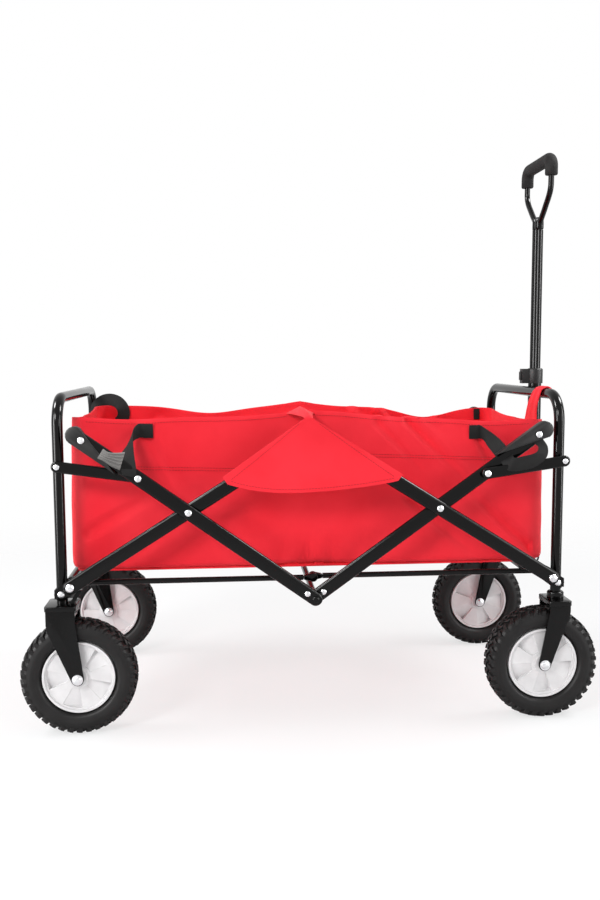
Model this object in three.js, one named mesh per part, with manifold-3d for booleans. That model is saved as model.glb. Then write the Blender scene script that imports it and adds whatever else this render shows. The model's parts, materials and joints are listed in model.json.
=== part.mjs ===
// Collapsible utility wagon with a telescoping pull handle.
// Millimetres, +Z up, ground at z = 0. +X points to the handle end, -Y is the near side.
// "rear" and "front" are the two end frames, "near" and "far" the two long sides.

import * as THREE from "three";
import { mergeVertices } from "three/addons/utils/BufferGeometryUtils.js";
import Module from "manifold-3d";

const wasm = await Module();
wasm.setup();

// ---------------------------------------------------------------- driving sizes

const seatGap = 0.3; // left between pieces that touch
const ringSides = 16; // facets round a tube, pin or rounded end
const cutOverrun = 10; // a cutting shape runs this far past the face that it opens

// End frames
const postSpanX = 885; // rear post line to front post line
const postSpanY = 430; // near post line to far post line
const postRadius = 9.5;
const hoopRise = 46; // top of the end hoops above the bag's rim
const hoopBend = 48; // centre-line radius of the hoop's corners
const crossbarRadius = 8;
const crossbarDrop = 14; // crossbar below the lower pivots
const wrapTrim = 4; // bracket's wrap above and below is this much lower than its lobe

// Side scissors
const armWidth = 25;
const armDepth = 11;
const armRounding = 2.5;
const pivotInset = 17; // lower pivot inboard of the post line
const lowerPivotZ = 263;
const liftAngle = THREE.MathUtils.degToRad(32.18);
const crossDistance = 243.2; // lower pivot to the scissor rivet, along the lift arm
const hubZ = 235; // lower centre joint
const crossLength = 503; // lower centre joint to the upper end of a cross arm
const linkWidth = 20;
const linkDepth = 8;
const linkPostZ = 473;
const linkDistance = 374; // lower centre joint to the link's end, along the cross arm
const boltRadius = 4;
const boltClearance = 0.35;
const hubClearance = 4; // the lower centre joint's hole is this much larger than its bolt
const headRadius = 7;
const headHeight = 3.5;
const headCrown = 0.72; // width of a domed head's top against its foot
const bossRadius = 5.5; // spacer behind a link's post rivet
const linkHeadRadius = 6;
const postRivetRadius = 5;
const lowHeadHeight = 2.5;
const plateThickness = 1.8;
const pivotLobe = 13; // bracket plate round the lower pivot
const postLobe = 12; // bracket plate over the post
const spreaderRadius = 6;

// Plastic end sleeves on the cross arms
const sleeveLength = 95;
const sleeveWall = 2.6;
const sleeveRivet = 14; // rivet back from the arm's upper end

// Folding floor frames
const railRadius = 5;
const railEyeRadius = 8;
const railGap = 0.3;
const railBagGap = 0.8; // inner rails to the bag's sides
const tieInset = 57.5; // floor tie inboard of the post line
const tieRadius = 5;
const tieBite = 0.3; // a tie is welded this deep into the rails

// Wheels
const wheelRadius = 101.5;
const wheelWidth = 45;
const hubRadius = 68;
const hubRimWidth = 35;
const hubWebWidth = 18;
const hubBossRadius = 16;
const hubBossWidth = 48;
const axleRadius = 5;
const axleClearance = 0.5;
const axleHeadRadius = 8;
const axleHeadHeight = 4;
const axleTrail = 26.5; // axle inboard of the post line
const wheelSides = 32;
const beadRise = 7; // tyre bead above the hub
const beadStep = 2; // bead inside the tyre's full width
const sidewallRise = 20;
const shoulderDrop = 4.5; // tread's rounded shoulders
const shoulderInset = 1.5;
const treadInset = 7;
const bossFillet = 2;
const rimWall = 6; // hub rim's thickness at its edge
const rimRoot = 10; // and where it meets the web
const webFlare = 4;

// Forks and casters
const forkArmThickness = 3;
const forkInnerWidth = 52;
const forkAxleLobe = 11;
const frontCrownLength = 38;
const rearCrownLength = 50;
const forkShoulderDrop = 16; // crown underside to the middle of the fork's shoulder
const crownClearance = 11; // tyre to crown
const frontCrownThickness = 4;
const casterHeadHeight = 14;
const casterHeadRadius = 15;
const casterStemRadius = 6;
const casterNutRadius = 9;
const casterNutHeight = 6;
const braceWidth = 8;
const braceDepth = 14;
const braceReach = 15;
const braceRise = 24;
const braceGap = 2; // brace clear of the post
const weldBite = 2; // welded plates run this deep into each other
const skirtBite = 1;
const casterChamfer = 2;

// Fabric bag
const bagEndGap = 27.5; // bag's end walls inboard of the post lines
const bagSideGap = 33; // bag's side walls inboard of the post lines
const rimRise = 21.3; // bag's rim above the arms' top joint
const bagWall = 3;
const bagFloor = 6;
const bagCornerRadius = 26;
const peakHeight = 22; // rise of the long rims at mid-length
const peakHalfWidth = 150;
const peakRoot = 10; // peak's overlap with the wall below the rim
const flapThickness = 2.4;
const flapHalfWidth = 155;
const flapShoulder = 17; // flap's fold above the top joint
const flapDrop = 105; // flap's lowest point below the top joint
const flapCornerDrop = 82; // flap's two corners below the top joint
const flapApexDrop = 1; // flap's seam below the rim's peak
const hangerWidth = 50;
const hangerThickness = 2.4;
const hangerInset = 54; // strap's middle inboard of the bag's near side
const hangerDrop = 22;
const hangerRise = 4; // hanger leaves the wall this far below the rim
const hangerTuck = 1; // its free end leans in towards the post line

// Pull handle
const handleOffset = 26.5; // handle axis forward of the front post line
const handleTubeRadius = 13;
const tubeLap = 9; // lower tube's end inside the collar
const handleHeel = 8; // tube below its pivot
const handlePlug = 25; // solid end above the pivot
const shaftRadius = 10.5;
const shaftLength = 371;
const shaftLap = 77; // shaft inside the lower tube when drawn out
const earThickness = 3;
const earGap = 0.5;
const earReach = 12; // bracket ears past the pivot
const earHalfHeight = 12;
const earBackThickness = 2;
const collarRadius = 15.5;
const collarGap = 5; // collar above the hoops
const collarHeight = 30;
const tabReach = 13; // button housing beyond the collar
const tabWidth = 16;
const tabStep = 1; // button housing below the collar's top
const collarChamfer = 2;
const buttonWidth = 9;
const buttonHeight = 17;
const buttonProud = 3;
const buttonDepth = 8;
const yokeWidth = 30;
const yokeDepth = 19;
const yokeHeight = 24;
const loopRadius = 5.5;
const loopHalfWidth = 70;
const loopFlare = 80; // height over which the loop's sides spread from the yoke
const loopUpright = 29; // upright run of each side below its corner bend
const loopBend = 17;
const gripRadius = 12;
const gripLeg = 15; // grip down each upright, below the bend

// ---------------------------------------------------------------- worked-out places

const rear = -1;
const front = 1;
const sides = [
  ["near", -1],
  ["far", 1],
];

const postX = postSpanX / 2;
const postY = postSpanY / 2;
const bagHalfLength = postX - bagEndGap;
const bagHalfWidth = postY - bagSideGap;
const pivotX = postX - pivotInset;
const crossbarZ = lowerPivotZ - crossbarDrop;
const wheelTop = 2 * wheelRadius;
const crownUnderside = wheelTop + crownClearance;
const postBottom = crownUnderside + frontCrownThickness + casterHeadHeight;

// Layers outward from the middle of the wagon, as distances from the XZ plane
const frontRailY = bagHalfWidth + railBagGap + railRadius;
const rearRailY = frontRailY + 2 * railRadius + railGap;
const innerPlateY = postY - postRadius - seatGap - plateThickness;
const outerPlateY = postY + postRadius + seatGap;
const innerArmY = outerPlateY + plateThickness + seatGap;
const outerArmY = innerArmY + armDepth + seatGap;
const armFaceY = outerArmY + armDepth;

// Scissor geometry in the XZ plane
const liftLength = pivotX / Math.cos(liftAngle);
const topZ = lowerPivotZ + pivotX * Math.tan(liftAngle);
const crossX = pivotX - crossDistance * Math.cos(liftAngle);
const crossZ = lowerPivotZ + crossDistance * Math.sin(liftAngle);
const crossAngle = Math.atan2(crossZ - hubZ, crossX);
const hubToCross = Math.hypot(crossX, crossZ - hubZ);
const linkEndX = linkDistance * Math.cos(crossAngle);
const linkEndZ = hubZ + linkDistance * Math.sin(crossAngle);
const linkLength = Math.hypot(postX - linkEndX, linkPostZ - linkEndZ);
const linkAngle = Math.atan2(linkEndZ - linkPostZ, postX - linkEndX);

// Heights of the bag, the hoops and the handle
const tieZ = lowerPivotZ + railRadius + tieRadius - tieBite;
const bagBottomZ = tieZ + tieRadius + seatGap;
const bagRimZ = topZ + rimRise;
const hangerY = hangerInset - bagHalfWidth;
const hoopTopZ = bagRimZ + hoopRise;
const hoopBarZ = hoopTopZ - postRadius;
const collarBottom = hoopTopZ + collarGap;
const handleTubeTop = collarBottom + tubeLap;
const shaftBottom = handleTubeTop - shaftLap;
const shaftTop = shaftBottom + shaftLength;
const handleX = postX + handleOffset;
const loopTopZ = shaftTop + loopFlare + loopUpright + loopBend;

// ---------------------------------------------------------------- materials

function finish(colour, roughness, metalness) {
  return new THREE.MeshStandardMaterial({ color: colour, roughness, metalness });
}

const blackTube = () => finish(0x17171a, 0.28, 0.4);
const blackPlastic = () => finish(0x1c1c1e, 0.55, 0);
const blackRubber = () => finish(0x151515, 0.85, 0);
const blackFoam = () => finish(0x1a1a1a, 0.95, 0);
const whitePlastic = () => finish(0xe9e9ea, 0.45, 0);
const redFabric = () => finish(0xd9202c, 0.9, 0);
const plainSteel = () => finish(0xb9bcc0, 0.3, 1);

// ---------------------------------------------------------------- solid tools

function toSolid(geometry) {
  const loose = geometry.index ? geometry.toNonIndexed() : geometry;
  const bare = new THREE.BufferGeometry();
  bare.setAttribute("position", loose.getAttribute("position"));
  const welded = mergeVertices(bare, 1e-3);
  const mesh = new wasm.Mesh({
    numProp: 3,
    vertProperties: welded.getAttribute("position").array,
    triVerts: new Uint32Array(welded.index.array),
  });
  return new wasm.Manifold(mesh);
}

function toGeometry(solid) {
  const mesh = solid.getMesh();
  const geometry = new THREE.BufferGeometry();
  geometry.setAttribute("position", new THREE.BufferAttribute(mesh.vertProperties, 3));
  geometry.setIndex(new THREE.BufferAttribute(mesh.triVerts, 1));
  geometry.computeVertexNormals();
  return geometry;
}

function join(...geometries) {
  const solids = geometries.map(toSolid);
  return toGeometry(solids.reduce((whole, solid) => whole.add(solid)));
}

function cut(geometry, ...tools) {
  const solids = tools.map(toSolid);
  return toGeometry(solids.reduce((whole, solid) => whole.subtract(solid), toSolid(geometry)));
}

const wagon = new THREE.Group();

function piece(name, geometry, material, parent = wagon) {
  const mesh = new THREE.Mesh(geometry, material);
  mesh.name = name;
  parent.add(mesh);
  return mesh;
}

function groupAt(x, y, z, parent = wagon) {
  const group = new THREE.Group();
  group.position.set(x, y, z);
  parent.add(group);
  return group;
}

// ---------------------------------------------------------------- shape tools

// A box from its lowest to its highest corner.
function block(low, high) {
  const size = high.map((value, axis) => value - low[axis]);
  const middle = high.map((value, axis) => (value + low[axis]) / 2);
  return new THREE.BoxGeometry(...size).translate(...middle);
}

// A round pin along Y between two distances from the XZ plane, on one side of it.
function pinAcross(x, z, radius, from, to, side = 1) {
  const length = Math.abs(to - from);
  const pin = new THREE.CylinderGeometry(radius, radius, length, ringSides);
  return pin.translate(x, (side * (from + to)) / 2, z);
}

// A low domed head on a pin, growing outward from a face.
function headAcross(x, z, radius, face, height, side = 1) {
  const crown = radius * headCrown;
  const topRadius = side > 0 ? crown : radius;
  const bottomRadius = side > 0 ? radius : crown;
  const head = new THREE.CylinderGeometry(topRadius, bottomRadius, height, ringSides);
  return head.translate(x, side * (face + height / 2), z);
}

// The outline round two circles, drawn in the XZ plane.
function lobeShape(ax, az, aRadius, bx, bz, bRadius) {
  const direction = Math.atan2(bz - az, bx - ax);
  const spread = Math.acos((aRadius - bRadius) / Math.hypot(bx - ax, bz - az));
  const shape = new THREE.Shape();
  shape.absarc(bx, bz, bRadius, direction - spread, direction + spread);
  shape.absarc(ax, az, aRadius, direction + spread, direction - spread + 2 * Math.PI);
  return shape;
}

// A plate with its outline in the XZ plane, between two distances on one side.
function plateAcross(shape, from, to, side = 1, rounding = 0) {
  const plate = new THREE.ExtrudeGeometry(shape, {
    depth: to - from - 2 * rounding,
    bevelEnabled: rounding > 0,
    bevelThickness: rounding,
    bevelSize: rounding,
    bevelOffset: -rounding,
    bevelSegments: 2,
    curveSegments: ringSides / 4,
  });
  plate.rotateX(Math.PI / 2);
  const outermost = side > 0 ? to : -from;
  return plate.translate(0, outermost - rounding, 0);
}

// A curve that passes through its points and keeps them as its only stations.
class Route extends THREE.Curve {
  constructor(points) {
    super();
    this.points = points;
  }
  getPointAt(u, target = new THREE.Vector3()) {
    return target.copy(this.points[Math.round(u * (this.points.length - 1))]);
  }
  getPoint(t, target) {
    return this.getPointAt(t, target);
  }
  getTangentAt(u, target = new THREE.Vector3()) {
    const last = this.points.length - 1;
    const here = Math.round(u * last);
    const before = this.points[Math.max(here - 1, 0)];
    const after = this.points[Math.min(here + 1, last)];
    const arriving = this.points[here].clone().sub(before).normalize();
    const leaving = after.clone().sub(this.points[here]).normalize();
    return target.copy(arriving).add(leaving).normalize();
  }
}

// A round bar or tube that follows a route.
function barAlong(points, radius, bore = 0, facets = ringSides) {
  const section = new THREE.Shape().absarc(0, 0, radius, 0, 2 * Math.PI);
  if (bore > 0) section.holes.push(new THREE.Path().absarc(0, 0, bore, 0, 2 * Math.PI, true));
  return new THREE.ExtrudeGeometry(section, {
    steps: points.length - 1,
    extrudePath: new Route(points),
    curveSegments: facets / 2,
  });
}

// Stations round a quarter bend in the YZ plane.
function bendPoints(centreY, centreZ, radius, startAngle, endAngle, count) {
  const points = [];
  for (let step = 0; step <= count; step += 1) {
    const angle = startAngle + ((endAngle - startAngle) * step) / count;
    const y = centreY + radius * Math.cos(angle);
    const z = centreZ + radius * Math.sin(angle);
    points.push(new THREE.Vector3(0, y, z));
  }
  return points;
}

// A ring turned about the Y axis from a closed profile of [radius, y] pairs.
function turned(profile, facets = ringSides) {
  const points = profile.map(([radius, y]) => new THREE.Vector2(radius, y));
  return new THREE.LatheGeometry(points, facets);
}

// The same profile turned about the vertical axis, with [radius, z] pairs.
function turnedUpright(profile, facets = ringSides) {
  return turned(profile, facets).rotateX(Math.PI / 2);
}

// ---------------------------------------------------------------- end frames

function hoopGeometry() {
  const bendZ = hoopBarZ - hoopBend;
  const bendY = postY - hoopBend;
  const points = [
    new THREE.Vector3(0, -postY, postBottom),
    ...bendPoints(-bendY, bendZ, hoopBend, Math.PI, Math.PI / 2, 6),
    ...bendPoints(bendY, bendZ, hoopBend, Math.PI / 2, 0, 6),
    new THREE.Vector3(0, postY, postBottom),
  ];
  return barAlong(points, postRadius);
}

function crossbarGeometry() {
  const reach = innerPlateY - seatGap;
  return pinAcross(0, crossbarZ, crossbarRadius, -reach, reach);
}

// A folded bracket that wraps a post and carries the lower pivot bolt.
function bracketGeometry(end, side, armLayer) {
  const px = end * pivotX;
  const outline = lobeShape(px, lowerPivotZ, pivotLobe, end * postX, crossbarZ, postLobe);
  const plateFace = outerPlateY + plateThickness;
  const wrapNear = postX + postRadius + seatGap;
  const wrapX = [end * wrapNear, end * (wrapNear + plateThickness)].sort((a, b) => a - b);
  const wrapY = [side * innerPlateY, side * plateFace].sort((a, b) => a - b);
  const wrapHalf = postLobe - wrapTrim;
  const boltEnd = armLayer + armDepth + seatGap;
  const boltStart = frontRailY - railRadius - seatGap;
  const pieces = [
    plateAcross(outline, innerPlateY, innerPlateY + plateThickness, side),
    plateAcross(outline, outerPlateY, plateFace, side),
    block([wrapX[0], wrapY[0], crossbarZ - wrapHalf], [wrapX[1], wrapY[1], crossbarZ + wrapHalf]),
    pinAcross(px, lowerPivotZ, boltRadius, boltStart, boltEnd, side),
    headAcross(px, lowerPivotZ, headRadius, boltEnd, headHeight, side),
    headAcross(end * postX, crossbarZ, postRivetRadius, plateFace, lowHeadHeight, side),
  ];
  if (armLayer > innerArmY) {
    const spacerEnd = armLayer - seatGap;
    pieces.push(pinAcross(px, lowerPivotZ, 2 * boltRadius, outerPlateY, spacerEnd, side));
  }
  return join(...pieces);
}

for (const [end, label] of [
  [rear, "rear"],
  [front, "front"],
]) {
  piece(`${label}_hoop`, hoopGeometry(), blackTube()).position.x = end * postX;
  piece(`${label}_crossbar`, crossbarGeometry(), blackTube()).position.x = end * postX;
  const armLayer = end === rear ? innerArmY : outerArmY;
  for (const [sideLabel, side] of sides) {
    piece(`${label}_bracket_${sideLabel}`, bracketGeometry(end, side, armLayer), blackTube());
  }
}

// ---------------------------------------------------------------- side scissors

// An arm lies along +X from its own pivot, with its thickness about the XZ plane.
function armBlank(length, width = armWidth, depth = armDepth) {
  const shape = lobeShape(0, 0, width / 2, length, 0, width / 2);
  return plateAcross(shape, -depth / 2, depth / 2, 1, Math.min(armRounding, depth / 3));
}

function armHole(distance, radius) {
  return pinAcross(distance, 0, radius, -armDepth, armDepth);
}

// A rivet that starts inside the arm and ends in a head outboard of it.
function armRivet(distance, side, reach) {
  const faceOut = armDepth / 2;
  return join(
    pinAcross(distance, 0, boltRadius, 0, faceOut + reach, side),
    headAcross(distance, 0, headRadius, faceOut + reach, headHeight, side),
  );
}

// The same rivet's tail, which holds the arm inboard of this one.
function armTail(distance, side) {
  const tail = armDepth / 2 + seatGap + armDepth + seatGap;
  return join(
    pinAcross(distance, 0, boltRadius, -tail, 0, side),
    pinAcross(distance, 0, headRadius, -tail - lowHeadHeight, -tail, side),
  );
}

function placeArm(mesh, x, z, angle, layer, side, depth = armDepth) {
  mesh.position.set(x, side * (layer + depth / 2), z);
  mesh.rotation.y = -angle;
}

const looseHole = boltRadius + boltClearance;
const neighbourReach = 2 * seatGap + armDepth; // through the arm outboard of this one

for (const [label, side] of sides) {
  // The rear lift arm is in the inner layer, so its two rivets reach out through its neighbours.
  const rearLift = cut(armBlank(liftLength), armHole(0, looseHole));
  piece(
    `rear_lift_arm_${label}`,
    join(
      rearLift,
      armRivet(crossDistance, side, neighbourReach),
      armRivet(liftLength, side, neighbourReach),
    ),
    blackTube(),
  );
  placeArm(wagon.children.at(-1), -pivotX, lowerPivotZ, liftAngle, innerArmY, side);

  // The front lift arm is in the outer layer and turns on the top rivet of the rear one.
  const frontLift = cut(
    armBlank(liftLength),
    armHole(0, looseHole),
    armHole(liftLength, looseHole),
  );
  const frontLiftWhole = join(
    frontLift,
    armRivet(liftLength - crossDistance, side, 0),
    armTail(liftLength - crossDistance, side),
  );
  piece(`front_lift_arm_${label}`, frontLiftWhole, blackTube());
  placeArm(wagon.children.at(-1), 0, topZ, -liftAngle, outerArmY, side);

  // The rear cross arm carries the lower centre joint's bolt and the rivet of the rear link.
  const centreTail = armDepth / 2 + neighbourReach;
  const rearCross = cut(armBlank(crossLength), armHole(hubToCross, looseHole));
  const rearCrossWhole = join(
    rearCross,
    armRivet(0, side, 0),
    pinAcross(0, 0, boltRadius, -centreTail, 0, side),
    armRivet(linkDistance, side, 0),
    armRivet(crossLength - sleeveRivet, side, sleeveWall),
  );
  piece(`rear_cross_arm_${label}`, rearCrossWhole, blackTube());
  placeArm(wagon.children.at(-1), 0, hubZ, Math.PI - crossAngle, outerArmY, side);

  // The front cross arm swings on the front lift arm, with room round the centre bolt.
  const frontCross = cut(
    armBlank(crossLength),
    armHole(hubToCross, looseHole),
    armHole(0, boltRadius + hubClearance),
  );
  const frontCrossWhole = join(
    frontCross,
    armRivet(crossLength - sleeveRivet, side, sleeveWall),
  );
  piece(`front_cross_arm_${label}`, frontCrossWhole, blackTube());
  placeArm(wagon.children.at(-1), 0, hubZ, crossAngle, innerArmY, side);
}

// The spreader tube joins the near and far lower centre joints.
const spreaderEnd = innerArmY - seatGap;
const spreader = pinAcross(0, 0, spreaderRadius, -spreaderEnd, spreaderEnd);
piece("centre_spreader", spreader, blackTube()).position.z = hubZ;

// Each link runs from a rivet on a post to the cross arm.
for (const [label, side] of sides) {
  for (const [end, endLabel] of [
    [rear, "rear"],
    [front, "front"],
  ]) {
    const layer = end === rear ? innerArmY : armFaceY - linkDepth;
    const toPost = layer + linkDepth / 2 - (postY + postRadius + seatGap);
    const face = linkDepth / 2;
    const pieces = [
      armBlank(linkLength, linkWidth, linkDepth),
      pinAcross(0, 0, bossRadius, -toPost, 0, side),
      headAcross(0, 0, linkHeadRadius, face, lowHeadHeight, side),
    ];
    if (end === front) {
      const washerReach = layer + linkDepth / 2 - (innerArmY + armDepth + seatGap);
      pieces.push(headAcross(linkLength, 0, headRadius, face, headHeight, side));
      pieces.push(pinAcross(linkLength, 0, headRadius, -washerReach, 0, side));
    }
    const link = piece(`${endLabel}_link_${label}`, join(...pieces), blackTube());
    const angle = end === rear ? linkAngle : Math.PI - linkAngle;
    placeArm(link, end * postX, linkPostZ, angle, layer, side, linkDepth);
  }
}

// Plastic sleeves close the upper ends of the cross arms, open towards the arm.
function sleeveGeometry(side) {
  const start = crossLength - sleeveLength;
  const halfWidth = armWidth / 2 + seatGap + sleeveWall;
  const halfDepth = armDepth / 2 + seatGap + sleeveWall;
  const outline = new THREE.Shape();
  outline.moveTo(start, -halfWidth);
  outline.absarc(crossLength, 0, halfWidth, -Math.PI / 2, Math.PI / 2);
  outline.lineTo(start, halfWidth);
  const pocketHalf = armWidth / 2 + seatGap;
  const pocket = lobeShape(start - armWidth, 0, pocketHalf, crossLength, 0, pocketHalf);
  const pocketDepth = armDepth / 2 + seatGap;
  const rivet = crossLength - sleeveRivet;
  const rivetHole = pinAcross(rivet, 0, looseHole, 0, 2 * halfDepth, side);
  const body = plateAcross(outline, -halfDepth, halfDepth, 1, armRounding);
  const pocketEnd = halfDepth + cutOverrun;
  const headPocket = pinAcross(rivet, 0, headRadius + seatGap, halfDepth - seatGap, pocketEnd, side);
  return cut(body, plateAcross(pocket, -pocketDepth, pocketDepth), rivetHole, headPocket);
}

for (const [label, side] of sides) {
  const rearSleeve = piece(`rear_end_sleeve_${label}`, sleeveGeometry(side), blackPlastic());
  placeArm(rearSleeve, 0, hubZ, Math.PI - crossAngle, outerArmY, side);
  const frontSleeve = piece(`front_end_sleeve_${label}`, sleeveGeometry(side), blackPlastic());
  placeArm(frontSleeve, 0, hubZ, crossAngle, innerArmY, side);
}

// ---------------------------------------------------------------- folding floor frames

// Two rails that hinge on an end frame's pivot bolts, welded under a cross tie.
function floorFrameGeometry(end, railY) {
  const tieX = end * (postX - tieInset);
  const parts = [];
  const holes = [];
  for (const [, side] of sides) {
    const rail = new THREE.CylinderGeometry(railRadius, railRadius, pivotX, ringSides);
    rail.rotateZ(Math.PI / 2).translate((end * pivotX) / 2, side * railY, lowerPivotZ);
    parts.push(rail);
    for (const [x, radius] of [
      [end * pivotX, railEyeRadius],
      [0, railEyeRadius],
    ]) {
      parts.push(
        pinAcross(x, lowerPivotZ, radius, railY - railRadius, railY + railRadius, side),
      );
    }
    holes.push(pinAcross(end * pivotX, lowerPivotZ, looseHole, 0, postY, side));
  }
  parts.push(pinAcross(tieX, tieZ, tieRadius, -railY - railRadius, railY + railRadius));
  return cut(join(...parts), ...holes);
}

piece("rear_floor_frame", floorFrameGeometry(rear, rearRailY), blackTube());
piece("front_floor_frame", floorFrameGeometry(front, frontRailY), blackTube());

// ---------------------------------------------------------------- wheels

// The tread's facets lie flat on the ground at the wheel's true radius.
function tyreGeometry() {
  const seat = hubRadius + seatGap;
  const half = wheelWidth / 2;
  const tread = wheelRadius / Math.cos(Math.PI / wheelSides);
  const profile = [
    [seat, -hubRimWidth / 2],
    [seat + beadRise, -half + beadStep],
    [seat + sidewallRise, -half],
    [tread - shoulderDrop, -half + shoulderInset],
    [tread, -half + treadInset],
    [tread, half - treadInset],
    [tread - shoulderDrop, half - shoulderInset],
    [seat + sidewallRise, half],
    [seat + beadRise, half - beadStep],
    [seat, hubRimWidth / 2],
    [seat, -hubRimWidth / 2],
  ];
  return turned(profile, wheelSides).rotateY(Math.PI / wheelSides);
}

function hubGeometry() {
  const bore = axleRadius + axleClearance;
  const boss = hubBossWidth / 2;
  const web = hubWebWidth / 2;
  const rim = hubRimWidth / 2;
  const profile = [
    [bore, -boss],
    [hubBossRadius, -boss],
    [hubBossRadius + bossFillet, -web],
    [hubRadius - rimRoot, -web - webFlare],
    [hubRadius - rimWall, -rim],
    [hubRadius, -rim],
    [hubRadius, rim],
    [hubRadius - rimWall, rim],
    [hubRadius - rimRoot, web + webFlare],
    [hubBossRadius + bossFillet, web],
    [hubBossRadius, boss],
    [bore, boss],
    [bore, -boss],
  ];
  return turned(profile, wheelSides).rotateY(Math.PI / wheelSides);
}

// One bolt through the fork and the hub, with a head at each end.
function axleGeometry() {
  const grip = forkInnerWidth / 2 + forkArmThickness + seatGap;
  const end = grip + axleHeadHeight;
  return turned([
    [0, -end],
    [axleHeadRadius, -end],
    [axleHeadRadius, -grip],
    [axleRadius, -grip],
    [axleRadius, grip],
    [axleHeadRadius, grip],
    [axleHeadRadius, end],
    [0, end],
  ]);
}

function addWheel(label, x, y, parent) {
  const wheel = groupAt(x, y, wheelRadius, parent);
  piece(`${label.replace("_", "_tyre_")}`, tyreGeometry(), blackRubber(), wheel);
  piece(`${label.replace("_", "_hub_")}`, hubGeometry(), whitePlastic(), wheel);
  piece(`${label.replace("_", "_axle_")}`, axleGeometry(), plainSteel(), wheel);
}

// ---------------------------------------------------------------- forks and casters

// A fork in the group of its own post line: x and y count from the post, z from the ground.
function forkGeometry(end, crownLength, crownThickness) {
  const inner = forkInnerWidth / 2;
  const outer = inner + forkArmThickness;
  const axleX = -end * axleTrail;
  const shoulderZ = crownUnderside - forkShoulderDrop;
  const half = crownLength / 2;
  const leg = lobeShape(axleX, wheelRadius, forkAxleLobe, 0, shoulderZ, half);
  const parts = [
    block([-half, -outer, crownUnderside], [half, outer, crownUnderside + crownThickness]),
  ];
  for (const [, side] of sides) {
    const skirtY = [side * inner, side * outer].sort((a, b) => a - b);
    parts.push(plateAcross(leg, inner, outer, side));
    const skirtTop = crownUnderside + skirtBite;
    parts.push(block([-half, skirtY[0], shoulderZ], [half, skirtY[1], skirtTop]));
  }
  const axleHole = pinAcross(axleX, wheelRadius, axleRadius + seatGap, -2 * outer, 2 * outer);
  return cut(join(...parts), axleHole);
}

// The fixed rear fork, with a thick crown and a sloping brace up to the bracket.
function rearForkGeometry() {
  const crownThickness = postBottom - seatGap - crownUnderside;
  const fork = forkGeometry(rear, rearCrownLength, crownThickness);
  const brace = new THREE.Shape();
  const footX = postRadius + braceGap;
  const footZ = crownUnderside + crownThickness - weldBite;
  brace.moveTo(footX, footZ);
  brace.lineTo(footX + braceWidth, footZ);
  brace.lineTo(footX + braceWidth + braceReach, footZ + braceRise);
  brace.lineTo(footX + braceReach, footZ + braceRise);
  return join(fork, plateAcross(brace, -braceDepth / 2, braceDepth / 2));
}

// The swivelling front fork has a round hole in its crown for the caster stem.
function frontForkGeometry() {
  const fork = forkGeometry(front, frontCrownLength, frontCrownThickness);
  const radius = casterStemRadius + seatGap;
  const low = crownUnderside - cutOverrun;
  const high = crownUnderside + frontCrownThickness + cutOverrun;
  const hole = turnedUpright([
    [0, low],
    [radius, low],
    [radius, high],
    [0, high],
  ]);
  return cut(fork, hole);
}

// A caster's head, stem and nut, fixed under the post.
function casterStemGeometry() {
  const headTop = postBottom - seatGap;
  const headLow = crownUnderside + frontCrownThickness + seatGap;
  const nutTop = crownUnderside - seatGap;
  const nutLow = nutTop - casterNutHeight;
  return turnedUpright([
    [0, nutLow],
    [casterNutRadius, nutLow],
    [casterNutRadius, nutTop],
    [casterStemRadius, nutTop],
    [casterStemRadius, headLow],
    [casterHeadRadius, headLow],
    [casterHeadRadius, headTop - casterChamfer],
    [casterHeadRadius - casterChamfer, headTop],
    [0, headTop],
  ]);
}

for (const [label, side] of sides) {
  const rearPost = groupAt(rear * postX, side * postY, 0);
  piece(`rear_fork_${label}`, rearForkGeometry(), blackTube(), rearPost);
  addWheel(`rear_${label}`, axleTrail, 0, rearPost);

  const frontPost = groupAt(front * postX, side * postY, 0);
  piece(`caster_stem_${label}`, casterStemGeometry(), plainSteel(), frontPost);
  piece(`front_fork_${label}`, frontForkGeometry(), blackTube(), frontPost);
  addWheel(`front_${label}`, -axleTrail, 0, frontPost);
}

// ---------------------------------------------------------------- fabric bag

function roundedPlan(halfLength, halfWidth, radius) {
  const shape = new THREE.Shape();
  shape.absarc(halfLength - radius, -halfWidth + radius, radius, -Math.PI / 2, 0);
  shape.absarc(halfLength - radius, halfWidth - radius, radius, 0, Math.PI / 2);
  shape.absarc(-halfLength + radius, halfWidth - radius, radius, Math.PI / 2, Math.PI);
  shape.absarc(-halfLength + radius, -halfWidth + radius, radius, Math.PI, 1.5 * Math.PI);
  return shape;
}

// An open-topped tub whose long rims rise to a low peak at mid-length.
function bagGeometry() {
  const depth = bagRimZ - bagBottomZ;
  const settings = { bevelEnabled: false, curveSegments: 4 };
  const outside = new THREE.ExtrudeGeometry(
    roundedPlan(bagHalfLength, bagHalfWidth, bagCornerRadius),
    { depth, ...settings },
  ).translate(0, 0, bagBottomZ);
  const inside = new THREE.ExtrudeGeometry(
    roundedPlan(bagHalfLength - bagWall, bagHalfWidth - bagWall, bagCornerRadius - bagWall),
    { depth, ...settings },
  ).translate(0, 0, bagBottomZ + bagFloor);
  const peak = new THREE.Shape();
  peak.moveTo(-peakHalfWidth, bagRimZ);
  peak.lineTo(-peakHalfWidth, bagRimZ - peakRoot);
  peak.lineTo(peakHalfWidth, bagRimZ - peakRoot);
  peak.lineTo(peakHalfWidth, bagRimZ);
  peak.lineTo(0, bagRimZ + peakHeight);
  const peaks = sides.map(([, side]) =>
    plateAcross(peak, bagHalfWidth - bagWall, bagHalfWidth, side),
  );
  return join(cut(outside, inside), ...peaks);
}

piece("bag", bagGeometry(), redFabric());

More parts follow.
